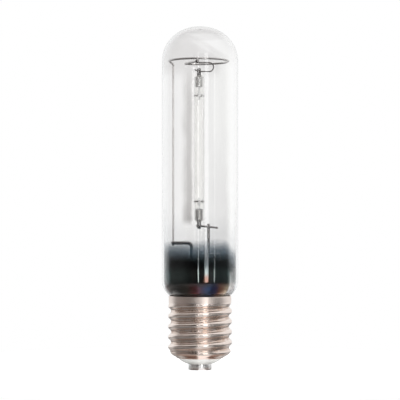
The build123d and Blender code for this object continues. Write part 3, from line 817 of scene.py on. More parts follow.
def finish_getter_film():
    """Flashed getter metal: a blue-black fade, a dark mirror, oil colours at the rim, thin on the right,
    with a painted dark reflection on the right and a painted highlight in front.
    """
    finish, tree, surface = new_finish("getter_film")
    place = use_group(tree, PLACE)
    cloud = use_group(tree, MOTTLE, Scale=110.0)
    fine = use_group(tree, MOTTLE, Scale=420.0)
    height, side, turn = place["Height"], place["Side"], place["Turn"]
    drift = plus(times(side, 0.5), times(cloud["Value"], 1.6))
    level = plus(minus(height, drift), between(side, *FILM_THIN_SIDE, 0.0, 6.0))

    cover = ramp(part_way(level, FILM_FADE_FOOT_Z, FILM_FADE_RUN), (
        (0.00, 1.0),
        (0.12, 0.93),
        (0.23, 0.72),
        (0.36, 0.60),
        (0.45, 0.48),
        (0.55, 0.32),
        (0.655, 0.155),
        (0.75, 0.055),
        (0.86, 0.02),
        (1.00, 0.0),
    ))
    window = times(between(side, *FILM_WINDOW_SIDE), between(height, *FILM_WINDOW_Z))
    right_edge = between(side, *FILM_RIGHT_EDGE_SIDE, 0.0, 0.38)
    right_edge = times(right_edge, between(height, *FILM_RIGHT_EDGE_Z))
    window = times(window, minus(1.0, right_edge))
    window = times(window, between(height, *FILM_WINDOW_CLEARS_Z, 0.72, 0.88))
    left_edge = between(side, *FILM_LEFT_EDGE_SIDE, 0.0, 0.32)
    left_edge = times(left_edge, between(height, *FILM_LEFT_EDGE_Z))
    # Painted reflection: a dark patch of film on the right, where something dark is mirrored
    painted_dark_reflection = times(between(side, *FILM_DARK_REFLECTION_SIDE), between(height, *FILM_DARK_REFLECTION_Z), 0.92)
    cover = times(larger(cover, painted_dark_reflection), minus(1.0, larger(window, left_edge)))
    haze = times(between(level, *FILM_HAZE_Z), 0.04)

    thick = between(level, *FILM_THICK_Z)
    veil = blend_colours(thick, (0.040, 0.075, 0.105), (0.006, 0.014, 0.017))
    bright = blend_colours(fine["Value"], (0.070, 0.115, 0.112), (0.056, 0.096, 0.093))
    # Painted highlight: the film is made more reflective in front, where the studio's panels are mirrored
    bright = blend_colours(band(turn, *FILM_FRONT_HIGHLIGHT_TURN), bright, (0.165, 0.200, 0.195))
    mirror = ramp(part_way(level, FILM_MIRROR_FOOT_Z, FILM_MIRROR_RUN), (
        (0.00, 0.10),
        (0.20, 0.55),
        (0.42, 1.0),
        (0.50, 0.95),
        (0.60, 0.55),
        (0.72, 0.10),
        (1.00, 0.0),
    ))
    blush = times(band(turn, *FILM_BLUSH_TURN), between(level, *FILM_BLUSH_Z))
    order = maths("PINGPONG", plus(times(turn, OIL_ORDERS_A_TURN), OIL_START), 1.0)
    order = plus(order, times(minus(fine["Value"], 0.5), 0.06))
    oil = ramp(order, (
        (0.00, (0.026, 0.025, 0.022)),
        (0.20, (0.080, 0.068, 0.048)),
        (0.34, (0.240, 0.060, 0.065)),
        (0.46, (0.060, 0.030, 0.060)),
        (0.60, (0.016, 0.062, 0.170)),
        (0.72, (0.070, 0.070, 0.230)),
        (0.82, (0.470, 0.180, 0.100)),
        (1.00, (0.800, 0.640, 0.450)),
    ))
    rim = between(plus(height, cloud["Value"]), *FILM_RIM_Z)
    dark_line = times(band(height, *FILM_LINE_Z), 0.55)
    colour = layered(
        veil,
        (mirror, bright),
        (blush, (0.150, 0.066, 0.045)),
        (rim, oil),
        (dark_line, 0.008),
    )
    feed(
        surface,
        Alpha=larger(cover, haze),
        Base_Color=colour,
        Metallic=between(level, *FILM_METAL_Z),
        Roughness=between(level, *FILM_SMOOTH_Z, 0.35, 0.05),
    )
    return finish


# Shapes of the outside


def bulb_side(inset):
    """Profile of the bulb from its neck up to the axis, drawn in by inset."""
    lift = inset * math.tan(SHOULDER_SLOPE / 2)
    bend_r = SHOULDER_ROUND - inset
    tangent = bend_r * math.tan(SHOULDER_SLOPE / 2)
    corner_z = SHOULDER_CORNER_Z + lift
    bend_centre = (BULB_R - inset - bend_r, corner_z + tangent)
    side = [(NECK_R - inset, NECK_BOTTOM_Z), (NECK_R - inset, NECK_CORNER_Z + lift - 0.01)]
    side += [(NECK_R - inset + 0.02, NECK_CORNER_Z + lift)]
    side += arc(bend_centre, bend_r, math.pi / 2 + SHOULDER_SLOPE, math.pi / 2, BEND_ROWS)
    top_of_bend = side[-1][1]
    wall = DOME_FOOT_Z - top_of_bend
    side += [(BULB_R - inset, top_of_bend + wall * k / WALL_ROWS) for k in range(1, WALL_ROWS)]
    knuckle_x = BULB_R - DOME_KNUCKLE_R
    side += arc((knuckle_x, DOME_FOOT_Z), DOME_KNUCKLE_R - inset, math.pi / 2, DOME_LEAN, KNUCKLE_ROWS)
    side += arc((0.0, LAMP_LENGTH - DOME_TOP_R), DOME_TOP_R - inset, DOME_LEAN, 0.0, DOME_ROWS)[1:]
    return side


def shape_glass_bulb():
    """Blown bulb with its wall, and the small closed tip in the middle of the dome."""
    outside = bulb_side(0.0)
    tip = [(1.1, -0.02), (0.8, -0.10), (0.5, -0.30), (0.25, -0.36)]
    outside = outside[:-1] + [(r, LAMP_LENGTH + drop) for r, drop in tip] + [(0.0, LAMP_LENGTH - 0.37)]
    inside = bulb_side(BULB_WALL)
    return lathe(list(reversed(outside)) + inside, BULB_SEGMENTS)


# Getter film: how far its two skins stand off the glass, and the foot and top of its straight part
FILM_DEPTHS = (0.03, 0.06)
FILM_BEND_Z = 56.0
FILM_TOP_Z = 99.0


def shape_getter_film():
    """Thin closed skin on the inside of the bulb, from the top of its neck up."""
    skins = []
    for depth in FILM_DEPTHS:
        neck_r = NECK_R - BULB_WALL - depth
        wall_r = BULB_R - BULB_WALL - depth
        side = [p for p in bulb_side(BULB_WALL + depth) if p[0] > neck_r + 0.01 and p[1] < FILM_BEND_Z]
        rise = FILM_TOP_Z - FILM_BEND_Z
        side += [(wall_r, FILM_BEND_Z + rise * k / FILM_ROWS) for k in range(FILM_ROWS + 1)]
        skins.append(side)
    return lathe(skins[0] + list(reversed(skins[1])), BULB_SEGMENTS)


def thread_height(z, angle):
    """How far the rolled thread stands out from its mean radius."""
    turn = (z - CREST_AT_X_Z) / PITCH - angle / (2 * math.pi)
    from_crest = abs(turn - round(turn)) * PITCH
    if from_crest < PITCH / 4:
        radius = CREST_R - THREAD_ROUND + math.sqrt(THREAD_ROUND ** 2 - from_crest ** 2)
    else:
        radius = ROOT_R + THREAD_ROUND - math.sqrt(THREAD_ROUND ** 2 - (PITCH / 2 - from_crest) ** 2)
    return radius - MEAN_R


def sleeve_radius(z, angle):
    """Outside of the sleeve: shoulder, round thread that fades in and out, and collar."""
    rise = smooth_step(z, THREAD_START_Z - 1.2, THREAD_START_Z + PITCH / 2)
    run_out = smooth_step(z, COLLAR_FOOT_Z - PITCH / 2, COLLAR_FOOT_Z + 0.4)
    foot = smooth_step(z, THREAD_START_Z - PITCH / 2, THREAD_START_Z + PITCH / 3)
    radius = ROOT_R + (MEAN_R - ROOT_R) * foot + (COLLAR_R - MEAN_R) * run_out
    return radius + thread_height(z, angle) * rise * (1 - run_out)


def shape_screw_sleeve():
    """Threaded sleeve with a turned-in lip, a plain collar and a plain bore."""
    lip = [(LIP_R - 0.45, LIP_Z + 0.02), (LIP_R - 0.15, LIP_Z), (LIP_R + 0.05, LIP_Z + 0.12)]
    lip += [(LIP_R + 0.16, LIP_Z + 0.35), (LIP_R + 0.3, SHOULDER_FOOT_Z)]
    rows_at = [[place] * SLEEVE_SEGMENTS for place in lip]
    angles = [2 * math.pi * k / SLEEVE_SEGMENTS for k in range(SLEEVE_SEGMENTS)]
    top_of_thread = COLLAR_FOOT_Z + 0.5
    lip_end_r = lip[-1][0]
    foot_radii = [sleeve_radius(THREAD_START_Z, a) for a in angles]
    for k in range(1, SHOULDER_ROWS):
        share = k / SHOULDER_ROWS
        swell = share + SHOULDER_SWELL * math.sin(math.pi * share)
        z = SHOULDER_FOOT_Z + (THREAD_START_Z - SHOULDER_FOOT_Z) * share
        rows_at.append([(lip_end_r + (r - lip_end_r) * swell, z) for r in foot_radii])
    for k in range(THREAD_ROWS + 1):
        z = THREAD_START_Z + (top_of_thread - THREAD_START_Z) * k / THREAD_ROWS
        rows_at.append([(sleeve_radius(z, a), z) for a in angles])
    collar = [(COLLAR_R, COLLAR_FOOT_Z + 1.4), (COLLAR_R, CAP_HEIGHT - 0.6)]
    collar += [(COLLAR_R - 0.03, CAP_HEIGHT - 0.25), (COLLAR_R - 0.14, CAP_HEIGHT - 0.06)]
    collar += [(COLLAR_R - 0.28, CAP_HEIGHT), (COLLAR_R - 0.45, CAP_HEIGHT - 0.08)]
    collar += [(COLLAR_R - SLEEVE_WALL, CAP_HEIGHT - 0.3), (COLLAR_R - SLEEVE_WALL, COLLAR_BORE_FOOT_Z)]
    bore = [(BORE_R, BORE_TOP_Z), (BORE_R, BORE_FOOT_Z), (LIP_BORE_R, LIP_BEND_Z), (LIP_BORE_R, LIP_Z + 0.1)]
    rows_at += [[place] * SLEEVE_SEGMENTS for place in collar + bore]
    points, rows = [], []
    for row in rows_at:
        rows.append([len(points) + k for k in range(SLEEVE_SEGMENTS)])
        points += [(r * math.cos(a), r * math.sin(a), z) for (r, z), a in zip(row, angles)]
    return points, skin(rows, SLEEVE_SEGMENTS, True)


def shape_insulator():
    """Pressed glass cone with a soft swell, seated in the lip of the sleeve."""
    cone = []
    foot_r, rim_r = CONTACT_R + 0.15, LIP_BORE_R - 0.25
    for k in range(CONE_ROWS + 1):
        share = k / CONE_ROWS
        swell = CONE_SWELL * math.sin(math.pi * share)
        cone.append((foot_r + (rim_r - foot_r) * share + swell * 0.6,
                     CONTACT_HEIGHT + 0.05 + (LIP_Z - CONTACT_HEIGHT) * share - swell))
    return lathe([
        (LEAD_HOLE_R, CONTACT_HEIGHT + 0.02),
        (foot_r - 0.4, CONTACT_HEIGHT + 0.01),
        *cone,
        (LIP_BORE_R - 0.06, LIP_Z + 0.35),
        (LIP_BORE_R - 0.05, SHOULDER_FOOT_Z + 0.3),
        (BORE_R - 0.1, THREAD_START_Z + 0.95),
        (BORE_R - 0.1, INSULATOR_TOP_Z - 0.3),
        (BORE_R - 0.4, INSULATOR_TOP_Z),
        (BORE_R * 0.55, INSULATOR_TOP_Z),
        (BORE_R * 0.45, INSULATOR_TOP_Z - 2.5),
        (LEAD_HOLE_R, INSULATOR_TOP_Z - 2.5),
    ], TURNED_SEGMENTS)


def shape_contact_button():
    """Turned contact with a rounded rim, a slightly waisted side and the solder's countersink."""
    rim_round = 0.7
    rim = arc((CONTACT_R - rim_round, rim_round), rim_round, math.pi, math.pi / 2, ROUND_ROWS)
    return lathe([
        (CONTACT_HOLE_R, SOLDER_DEPTH),
        (SOLDER_R - 0.2, 0.14),
        (SOLDER_R + 0.1, 0.0),
        *rim,
        (CONTACT_R - 0.05, 1.6),
        (CONTACT_R, 2.9),
        (CONTACT_R - 0.1, CONTACT_HEIGHT - 0.05),
        (CONTACT_R - 0.3, CONTACT_HEIGHT),
        (CONTACT_HOLE_R, CONTACT_HEIGHT),
    ], TURNED_SEGMENTS)


def shape_solder():
    """Bead of solder, sunk a little in its countersink."""
    bead = []
    for k in range(ROUND_ROWS + 1):
        share = k / ROUND_ROWS
        bead.append((SOLDER_R * 0.93 * share, 0.30 - 0.10 * math.cos(math.pi * share) - 0.06 * share))
    top_z = SOLDER_DEPTH - 0.02
    return lathe(bead + [(CONTACT_HOLE_R + 0.02, top_z), (0.0, top_z)], SOLDER_SEGMENTS)


# Shapes of the mount inside the bulb


def tail_bend():
    """Where the frame's ring ends and where its tail turns to the middle."""
    end = math.pi + RING_SWEEP
    start = Vector((RING_X + RING_R * math.cos(end), RING_R * math.sin(end), RING_Z))
    return start, start + Vector((-math.sin(end), math.cos(end), 0.0)) * TAIL_RUN


def shape_frame_wire():
    """Side rod, support ring in the dome and tail to the middle, bent from one wire."""
    tail_start, tail_corner = tail_bend()
    riser = bent_path([
        (ROD_X, ROD_Y, ROD_BOTTOM_Z),
        (ROD_X, ROD_Y, RING_Z - ROD_STEP * 0.7),
        (RING_LEFT_X, ROD_Y, RING_Z),
        (RING_LEFT_X, 0.0, RING_Z),
    ], [1.2, 1.75])
    ring = []
    for k in range(RING_STEPS + 1):
        angle = math.pi + RING_SWEEP * k / RING_STEPS
        ring.append(Vector((RING_X + RING_R * math.cos(angle), RING_R * math.sin(angle), RING_Z)))
    tail = bent_path([tail_start, tail_corner, KNOT], [2.0])
    return wire(riser[:-1] + ring + tail[1:], FRAME_R)


def shape_tail_binding():
    """Three turns of fine wire that bind the frame's tail where the springy loop is welded."""
    along = (KNOT - tail_bend()[1]).normalized()
    side = along.orthogonal().normalized()
    up = along.cross(side)
    turns, steps, pitch, start, fine_r = 3, 18, 0.52, 2.0, 0.22
    path = []
    for k in range(turns * steps + 1):
        angle = 2 * math.pi * k / steps
        place = KNOT - along * (start - pitch * k / steps)
        path.append(place + (side * math.cos(angle) + up * math.sin(angle)) * (FRAME_R + fine_r * 0.8))
    return wire(path, fine_r, WINDING_SIDES)


def shape_expansion_lead():
    """Springy loop between the frame's tail and the upper niobium tube."""
    loop_r = (EXPANSION_TOP_Z - EXPANSION_LOW_Z) / 2 * 0.96
    return wire(bent_path([
        (KNOT.x - 1.4, EXPANSION_Y, EXPANSION_TOP_Z),
        (EXPANSION_X, EXPANSION_Y, EXPANSION_TOP_Z),
        (EXPANSION_X, EXPANSION_Y, EXPANSION_LOW_Z),
        (ARC_X, EXPANSION_Y, EXPANSION_LOW_Z),
        (ARC_X - 2.6, EXPANSION_Y, EXPANSION_LOW_Z + 1.2),
    ], [loop_r, loop_r, 1.5]), EXPANSION_R, THIN_WIRE_SIDES)


def shape_frame_lead():
    """Lead that rises from the press and turns out to the frame's rod."""
    side_y = ROD_Y - (FRAME_R + LEAD_R - WELD)
    return wire(bent_path([
        (LEAD_X, 0.0, WIRE_JOINT_Z),
        (LEAD_X, 0.0, LEAD_BAR_Z),
        (ROD_X - 1.0, side_y, LEAD_BAR_Z),
    ], [2.4]), LEAD_R)


def shape_cross_wire():
    """Straight wire from the lower niobium tube across the post, with a free end."""
    at_tube = Vector((ARC_X, -(NIOBIUM_R + CROSS_R - WELD), ARC_BOTTOM_Z - 3.6))
    at_post = Vector((POST_X, -(POST_R + CROSS_R - WELD), ARC_BOTTOM_Z - 4.2))
    run = at_post - at_tube
    return wire([at_tube - run * 0.3, at_tube, at_post, at_post + run], CROSS_R)


def tube_end(profile, up):
    """Profile drawn about the arc tube's upper end, placed at either end of it."""
    if up:
        return [(r, ARC_TOP_Z + z) for r, z in profile]
    return [(r, ARC_BOTTOM_Z - z) for r, z in profile]


def shape_niobium_tube(up):
    """Feed-through tube with a pinched and rounded outer end and a socket for the electrode."""
    return lathe(tube_end([
        (0.0, ELECTRODE_SINK - NIOBIUM_SINK),
        (ELECTRODE_R, ELECTRODE_SINK - NIOBIUM_SINK),
        (ELECTRODE_R, -NIOBIUM_SINK),
        (NIOBIUM_R, -NIOBIUM_SINK),
        (NIOBIUM_R, NIOBIUM_REACH - 1.3),
        (NIOBIUM_R - 0.05, NIOBIUM_REACH - 0.8),
        (NIOBIUM_R - 0.2, NIOBIUM_REACH - 0.35),
        (NIOBIUM_R - 0.55, NIOBIUM_REACH - 0.06),
        (0.0, NIOBIUM_REACH),
    ], up), NIOBIUM_SEGMENTS, ARC_X)


def shape_frit(up):
    """Concave fillet of sealing glass round the niobium tube."""
    fillet = []
    for k in range(ROUND_ROWS + 1):
        share = k / ROUND_ROWS
        fillet.append((FRIT_R - (FRIT_R - NIOBIUM_R - 0.2) * share, 0.1 + FRIT_HEIGHT * share ** 1.5))
    inner_r = NIOBIUM_R + 0.02
    profile = [(inner_r, 0.02), (FRIT_R, 0.02), *fillet, (inner_r, FRIT_HEIGHT + 0.1)]
    return lathe(tube_end(profile, up), NIOBIUM_SEGMENTS, ARC_X)


def shape_plug(up):
    """Ceramic plug in the end of the arc tube, with eased rims and a hair's clearance."""
    inner_r, outer_r, ease = NIOBIUM_R + 0.01, ARC_BORE_R - 0.04, 0.15
    return lathe(tube_end([
        (inner_r, -0.02),
        (outer_r - ease, -0.02),
        (outer_r, -0.02 - ease),
        (outer_r, ease - PLUG_LENGTH),
        (outer_r - ease, -PLUG_LENGTH),
        (inner_r, -PLUG_LENGTH),
    ], up), PLUG_SEGMENTS, ARC_X)


def shape_arc_tube():
    """Ceramic tube with ground ends."""
    ease = 0.12
    return lathe([
        (ARC_BORE_R, ARC_BOTTOM_Z),
        (ARC_R - ease, ARC_BOTTOM_Z),
        (ARC_R, ARC_BOTTOM_Z + ease),
        (ARC_R, ARC_TOP_Z - ease),
        (ARC_R - ease, ARC_TOP_Z),
        (ARC_BORE_R, ARC_TOP_Z),
    ], ARC_SEGMENTS, ARC_X)


def shape_electrode(up):
    """Tungsten shank with a winding near its tip."""
    foot, tip = ELECTRODE_SINK - NIOBIUM_SINK, -NIOBIUM_SINK - ELECTRODE_REACH
    base = ARC_TOP_Z if up else ARC_BOTTOM_Z
    sign = 1.0 if up else -1.0
    heights = (foot, foot - 4.0, tip)
    shank = wire([(ARC_X, 0.0, base + sign * z) for z in heights], ELECTRODE_R, ELECTRODE_SIDES)
    turns, steps, pitch, start, fine_r = 7, 14, 0.5, 1.45, 0.25
    lay = ELECTRODE_R + fine_r
    winding = []
    for k in range(turns * steps + 1):
        angle = 2 * math.pi * k / steps
        z = base + sign * (tip + start + pitch * k / steps)
        winding.append((ARC_X + lay * math.cos(angle), lay * math.sin(angle), z))
    return joined(shank, wire(winding, fine_r, WINDING_SIDES))


def shape_starting_wire():
    """Wire laid along the arc tube between two straps."""
    low_z, high_z = ARC_BOTTOM_Z + BAND_INSET, ARC_TOP_Z - BAND_INSET
    straps = []
    for z in (low_z, high_z):
        straps.append(lathe([
            (ARC_R + 0.01, z - 0.4),
            (ARC_R + 0.22, z - 0.4),
            (ARC_R + 0.3, z - 0.3),
            (ARC_R + 0.3, z + 0.3),
            (ARC_R + 0.22, z + 0.4),
            (ARC_R + 0.01, z + 0.4),
        ], STRAP_SEGMENTS, ARC_X))
    lay = ARC_R + STARTING_WIRE_R
    x = ARC_X + lay * math.cos(STARTING_WIRE_ANGLE)
    y = lay * math.sin(STARTING_WIRE_ANGLE)
    heights = (low_z - 1.0, (low_z + high_z) / 2, high_z + 1.0)
    rod = wire([(x, y, z) for z in heights], STARTING_WIRE_R, STARTING_WIRE_SIDES)
    return joined(rod, *straps)


def shape_tube_post():
    """Straight post from the press to the lower end of the arc tube."""
    heights = (WIRE_JOINT_Z, PRESS_TOP_Z, ARC_BOTTOM_Z - 2.4)
    return wire([(POST_X, 0.0, z) for z in heights], POST_R)


def shape_getter_wire():
    """Short bent wire from the post to the back of the getter ring."""
    top_z = GETTER_Z + GETTER_R + 3.4
    back_x = GETTER_X - GETTER_WIRE_R + WELD
    return wire(bent_path([
        (POST_X + POST_R - WELD, 0.0, top_z),
        (back_x, 0.0, top_z),
        (back_x, 0.0, GETTER_Z + GETTER_R - 2.0),
    ], [0.9]), GETTER_WIRE_R, THIN_WIRE_SIDES)


def build_lamp():
    """Make every piece and give the kept solids their finishes."""
    bulb_glass = finish_bulb_glass()
    # One frame wire: mostly diffuse and light on the rod, a full mirror on the ring so it reads darker, as
    # painted shade
    frame_metal = finish_drawn_wire(
        "frame_wire", (0.80, 0.78, 0.77), (0.52, 0.50, 0.49), (0.16, 0.30),
        metallic=0.2, mirror_from=RING_Z - 4.0)
    lead_metal = finish_drawn_wire("lead_wire", (0.24, 0.215, 0.205), (0.12, 0.105, 0.10), (0.30, 0.45))
    fine_metal = finish_drawn_wire("fine_wire", (0.34, 0.32, 0.315), (0.19, 0.178, 0.174), (0.22, 0.38))
    niobium = finish_drawn_wire("niobium", (0.36, 0.355, 0.355), (0.20, 0.195, 0.195), (0.12, 0.22))
    tungsten = finish_drawn_wire(
        "tungsten", (0.86, 0.86, 0.865), (0.72, 0.72, 0.725), (0.35, 0.55), metallic=0.3)
    getter_metal = finish_drawn_wire("getter_strip", (0.34, 0.33, 0.32), (0.16, 0.15, 0.14), (0.35, 0.6))
    amalgam = finish_drawn_wire("amalgam", (0.62, 0.62, 0.64), (0.42, 0.42, 0.44), (0.2, 0.4))
    frit = finish_sealing_frit()
    plug = finish_darkened_plug()

    bulb = add_piece("glass_bulb", shape_glass_bulb(), bulb_glass, "clear_glass", "outer_bulb")
    bulb.visible_shadow = False
    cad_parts["glass_stem"].visible_shadow = False
    add_piece("getter_film", shape_getter_film(), finish_getter_film(), "getter_metal")
    sleeve = shape_screw_sleeve()
    add_piece("screw_sleeve", sleeve, finish_nickel_sleeve(), "nickel_plate", "threaded_sleeve")
    add_piece("insulator_cone", shape_insulator(), finish_insulator(), "insulator_glass", "cap_insulator")
    button = shape_contact_button()
    add_piece("contact_button", button, finish_contact_button(), "contact_metal", "centre_contact")
    add_piece("solder_bead", shape_solder(), finish_solder(), "solder", "contact_solder")

    add_piece("frame_rod_and_ring", shape_frame_wire(), frame_metal, "frame_metal", "frame_wire")
    add_piece("tail_binding", shape_tail_binding(), fine_metal, "expansion_metal")
    add_piece("springy_loop", shape_expansion_lead(), fine_metal, "expansion_metal", "expansion_lead")
    add_piece("frame_carrier", shape_frame_lead(), lead_metal, "lead_metal", "frame_lead")
    add_piece("tube_post", shape_tube_post(), fine_metal, "lead_metal", "lead_post")
    add_piece("tube_cross_wire", shape_cross_wire(), fine_metal, "frame_metal", "cross_wire")
    add_piece("getter_holder", shape_getter_wire(), frame_metal, "frame_metal", "getter_wire")

    tube = add_piece("ceramic_tube", shape_arc_tube(), finish_arc_ceramic(), "arc_ceramic", "arc_tube")
    tube.visible_shadow = False
    for end, up in (("upper", True), ("lower", False)):
        add_piece(end + "_feed_through", shape_niobium_tube(up), niobium, "niobium", end + "_niobium_tube")
        add_piece(end + "_seal", shape_frit(up), frit, "frit", end + "_frit")
        add_piece(end + "_wound_electrode", shape_electrode(up), tungsten, "tungsten", end + "_electrode")
        add_piece(end + "_end_plug", shape_plug(up), plug, "arc_ceramic", end + "_plug")
    starting_wire = shape_starting_wire()
    add_piece("starting_aid", starting_wire, finish_starting_aid(), "starting_metal", "starting_wire")

    dress_solid("glass_stem", finish_stem_glass())
    dress_solid("basing_cement", finish_cement())
    dress_solid("contact_lead", lead_metal)
    dress_solid("sleeve_lead", lead_metal)
    dress_solid("sodium_amalgam", amalgam)
    dress_solid("getter_ring", getter_metal)


# Studio: each pair says where a zone is 0 and where it is 1, and turns have the front at one half

FRONT_TURN = 0.5
CEILING_UP = (0.62, 0.80)
CEILING_LIGHT = 0.75
GROUND_UP = (-0.10, -0.45)
GROUND_LIGHT = 0.20
HIGH_PANEL_TURN = ((0.46, 0.50), (0.61, 0.57))
HIGH_PANEL_UP = (0.30, 0.45)
HIGH_PANEL_LIGHT = 1.30
SKYLIGHT = (0.51, 0.39, 0.77)
SKYLIGHT_EDGE = (0.52, 0.62)
SKYLIGHT_LIGHT = 0.95

# Tall panels: bearing and half width in degrees, strength and upper end
TALL_PANELS = ((20.0, 5.8, 3.85, 0.405), (-5.2, 1.2, 4.6, 0.405), (45.5, 1.4, 2.5, 0.115))
TALL_PANEL_UP = (-0.17, -0.12)
TALL_PANEL_SIDE_BLUR = 0.4
TALL_PANEL_TOP_BLUR = 0.025

TOP_PANEL_ANGLE = math.radians(10.0)
TOP_PANEL_DISTANCE = 0.60
TOP_PANEL_Z = 1.20
TOP_PANEL_SIZE = 0.80
TOP_PANEL_WATTS = 12.0
TOP_PANEL_AIM_Z = 0.1

# Floor: its radius in millimetres, and its zones of painted shade and painted light by distance from the
# middle in metres
FLOOR_R = 200.0
FLOOR_SEGMENTS = 96
FLOOR_WHITE = 0.92
FLOOR_SEEN_PAINT = 0.42
FLOOR_SEEN_GLOW = 0.86
FLOOR_PAINTED_SPOT_GLOW = 0.95
FLOOR_FAR = (0.060, 0.130)
FLOOR_NEAR = (0.018, 0.032)
FLOOR_LIGHT_POOL_TURN = ((0.45, 0.50), (0.62, 0.57))
SIDE_LIGHT_TURN = ((0.28, 0.20), (0.72, 0.80))
SIDE_LIGHT_NEAR = (0.085, 0.065)
UNDER_CAP = (0.0185, 0.0165)
UNDER_CAP_SIDES_TURN = ((0.33, 0.29), (0.70, 0.74))
UNDER_CAP_GLOW_SPOT_TURN = ((0.466, 0.482), (0.605, 0.575))

LENS_PX = 1690.5
PICTURE_PX = 400
SENSOR_MM = 36.0
CAMERA_PLACE = Vector((0.0, -1.040, 0.084))
CAMERA_AIM_Z = 0.1041
CAMERA_NEAREST = 0.05
CAMERA_FARTHEST = 20.0


def seen_directly(tree):
    """Light path outputs, and 1 for a ray that has at most passed through clear pieces since the camera."""
    path = put(tree, "ShaderNodeLightPath").outputs
    straight = maths("LESS_THAN", path["Glossy Depth"], 0.5)
    through = times(path["Is Transmission Ray"], straight)
    return path, larger(path["Is Camera Ray"], through)


def turn_round_lamp(axes):
    """Bearing from the middle as a share of a turn, with the front at one half."""
    return plus(maths("DIVIDE", bearing(axes), 2 * math.pi), FRONT_TURN)


def stand(thing, place, aim_z):
    """Put the camera or a light in its place, turned to a height on the lamp's axis."""
    bpy.context.scene.collection.objects.link(thing)
    thing.location = place
    thing.rotation_euler = (Vector((0.0, 0.0, aim_z)) - place).to_track_quat("-Z", "Y").to_euler()


def set_world():
    """Room that the lamp mirrors, with plain white for what is seen directly."""
    world = bpy.data.worlds.new("studio")
    bpy.context.scene.world = world
    world.use_nodes = True
    tree = world.node_tree
    tree.nodes.clear()
    coords = put(tree, "ShaderNodeTexCoord").outputs["Generated"]
    axes = put(tree, "ShaderNodeSeparateXYZ", None, {0: coords}).outputs
    up = axes["Z"]
    around = turn_round_lamp(axes)
    walls = ramp(around, (
        (0.000, 0.95),
        (0.120, (1.00, 1.02, 1.03)),
        (0.165, (0.94, 0.96, 0.97)),
        (0.195, (0.49, 0.51, 0.52)),
        (0.217, (0.222, 0.205, 0.198)),
        (0.330, (0.222, 0.199, 0.190)),
        (0.405, (0.105, 0.094, 0.089)),
        (0.480, (0.038, 0.034, 0.032)),
        (0.640, 0.175),
        (0.755, 0.21),
        (0.777, (0.56, 0.58, 0.59)),
        (0.803, (0.88, 0.91, 0.92)),
        (0.880, (0.96, 0.98, 0.99)),
        (1.000, 0.95),
    ))
    high_panel = times(band(around, *HIGH_PANEL_TURN), between(up, *HIGH_PANEL_UP))
    sky = put(tree, "ShaderNodeVectorMath", {"operation": "DOT_PRODUCT"}, {0: coords, 1: SKYLIGHT})
    room = layered(
        walls,
        (between(up, *CEILING_UP), CEILING_LIGHT),
        (high_panel, HIGH_PANEL_LIGHT),
        (between(up, *GROUND_UP), GROUND_LIGHT),
        (between(sky.outputs["Value"], *SKYLIGHT_EDGE), SKYLIGHT_LIGHT),
    )
    above_foot = between(up, *TALL_PANEL_UP)
    for turn, half_width, strength, top in TALL_PANELS:
        off = maths("ABSOLUTE", minus(around, FRONT_TURN + turn / 360.0))
        outer = (half_width + TALL_PANEL_SIDE_BLUR) / 360.0
        inner = (half_width - TALL_PANEL_SIDE_BLUR) / 360.0
        below_top = between(up, top + TALL_PANEL_TOP_BLUR, top - TALL_PANEL_TOP_BLUR)
        panel = times(between(off, outer, inner), times(above_foot, below_top))
        room = blend_colours(panel, room, strength)
    _, seen = seen_directly(tree)
    light = blend_colours(seen, room, 1.0)
    glow = put(tree, "ShaderNodeBackground", None, {"Color": light, "Strength": 1.0})
    output = put(tree, "ShaderNodeOutputWorld")
    feed(output.inputs, Surface=glow.outputs[0])


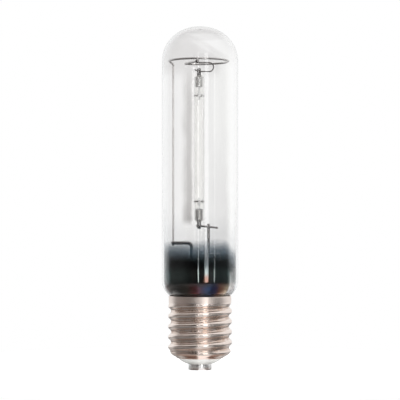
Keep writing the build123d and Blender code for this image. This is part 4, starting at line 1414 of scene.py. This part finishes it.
def finish_floor():
    """White table that keeps the lamp's shadow; what polished metal mirrors of it is painted: painted shade
    near the lamp, a painted pool of light in front, lighter painted sides, painted shade under the cap with
    a lighter middle, and a painted glowing spot there.
    """
    finish, tree = bare_material("white_floor")
    path, seen = seen_directly(tree)
    coords = put(tree, "ShaderNodeTexCoord").outputs["Object"]
    out = put(tree, "ShaderNodeVectorMath", {"operation": "LENGTH"}, {0: coords}).outputs["Value"]
    around = turn_round_lamp(put(tree, "ShaderNodeSeparateXYZ", None, {0: coords}).outputs)
    # What metal mirrors of the floor: painted shade near the lamp, lighter further out
    shade = blend_colours(between(out, *FLOOR_FAR), 0.14, 0.32)
    shade = blend_colours(between(out, *FLOOR_NEAR), (0.38, 0.322, 0.292), shade)
    # Painted pool of light in front and painted light at the sides
    painted_light_pool = band(around, *FLOOR_LIGHT_POOL_TURN)
    painted_side_light = times(beyond(around, *SIDE_LIGHT_TURN), between(out, *SIDE_LIGHT_NEAR))
    # Painted shade under the cap, lighter in its middle
    under_cap = between(out, *UNDER_CAP)
    painted_light_and_shade_under_cap = blend_colours(beyond(around, *UNDER_CAP_SIDES_TURN), (0.26, 0.17, 0.14), 0.80)
    painted_mirrored_floor = layered(shade, (painted_light_pool, 0.60), (painted_side_light, 0.46), (under_cap, painted_light_and_shade_under_cap))
    glossy = path["Is Glossy Ray"]
    # Painted glowing spot under the cap, seen only in reflections
    painted_glow_spot = times(band(around, *UNDER_CAP_GLOW_SPOT_TURN), under_cap, glossy)
    colour = layered(FLOOR_WHITE, (glossy, painted_mirrored_floor), (seen, FLOOR_SEEN_PAINT))
    paint = put(tree, "ShaderNodeBsdfDiffuse", None, {"Color": colour})
    glow = put(tree, "ShaderNodeEmission", None, {
        "Color": opaque(1.0),
        "Strength": larger(times(seen, FLOOR_SEEN_GLOW), times(painted_glow_spot, FLOOR_PAINTED_SPOT_GLOW)),
    })
    both = put(tree, "ShaderNodeAddShader", None, {0: paint.outputs[0], 1: glow.outputs[0]})
    output = put(tree, "ShaderNodeOutputMaterial")
    feed(output.inputs, Surface=both.outputs[0])
    return finish


def add_floor():
    """Round table under the lamp."""
    angles = [2 * math.pi * k / FLOOR_SEGMENTS for k in range(FLOOR_SEGMENTS)]
    points = [(0.0, 0.0, 0.0)]
    points += [(FLOOR_R * math.cos(a), FLOOR_R * math.sin(a), 0.0) for a in angles]
    faces = [(0, 1 + k, 1 + (k + 1) % FLOOR_SEGMENTS) for k in range(FLOOR_SEGMENTS)]
    mesh = bpy.data.meshes.new("studio_floor")
    mesh.from_pydata([[value * MM for value in point] for point in points], [], faces)
    mesh.materials.append(finish_floor())
    floor = bpy.data.objects.new("studio_floor", mesh)
    bpy.context.scene.collection.objects.link(floor)


def add_camera():
    """Long lens level with the lower half of the bulb, as far away as the photograph's view."""
    data = bpy.data.cameras.new("camera")
    data.sensor_width = SENSOR_MM
    data.lens = SENSOR_MM * LENS_PX / PICTURE_PX
    data.clip_start = CAMERA_NEAREST
    data.clip_end = CAMERA_FARTHEST
    camera = bpy.data.objects.new("camera", data)
    stand(camera, CAMERA_PLACE, CAMERA_AIM_Z)
    bpy.context.scene.camera = camera


def add_top_panel():
    """Soft light above and before the lamp, which no piece mirrors."""
    light = bpy.data.lights.new("top_panel", "AREA")
    light.shape = "RECTANGLE"
    light.size = TOP_PANEL_SIZE
    light.size_y = TOP_PANEL_SIZE
    light.energy = TOP_PANEL_WATTS
    panel = bpy.data.objects.new("top_panel", light)
    x = math.sin(TOP_PANEL_ANGLE) * TOP_PANEL_DISTANCE
    y = -math.cos(TOP_PANEL_ANGLE) * TOP_PANEL_DISTANCE
    stand(panel, Vector((x, y, TOP_PANEL_Z)), TOP_PANEL_AIM_Z)
    panel.visible_camera = False
    panel.visible_glossy = False
    panel.visible_transmission = False


build_lamp()
set_world()
add_floor()
add_camera()
add_top_panel()

bpy.context.scene.view_settings.view_transform = "Standard"
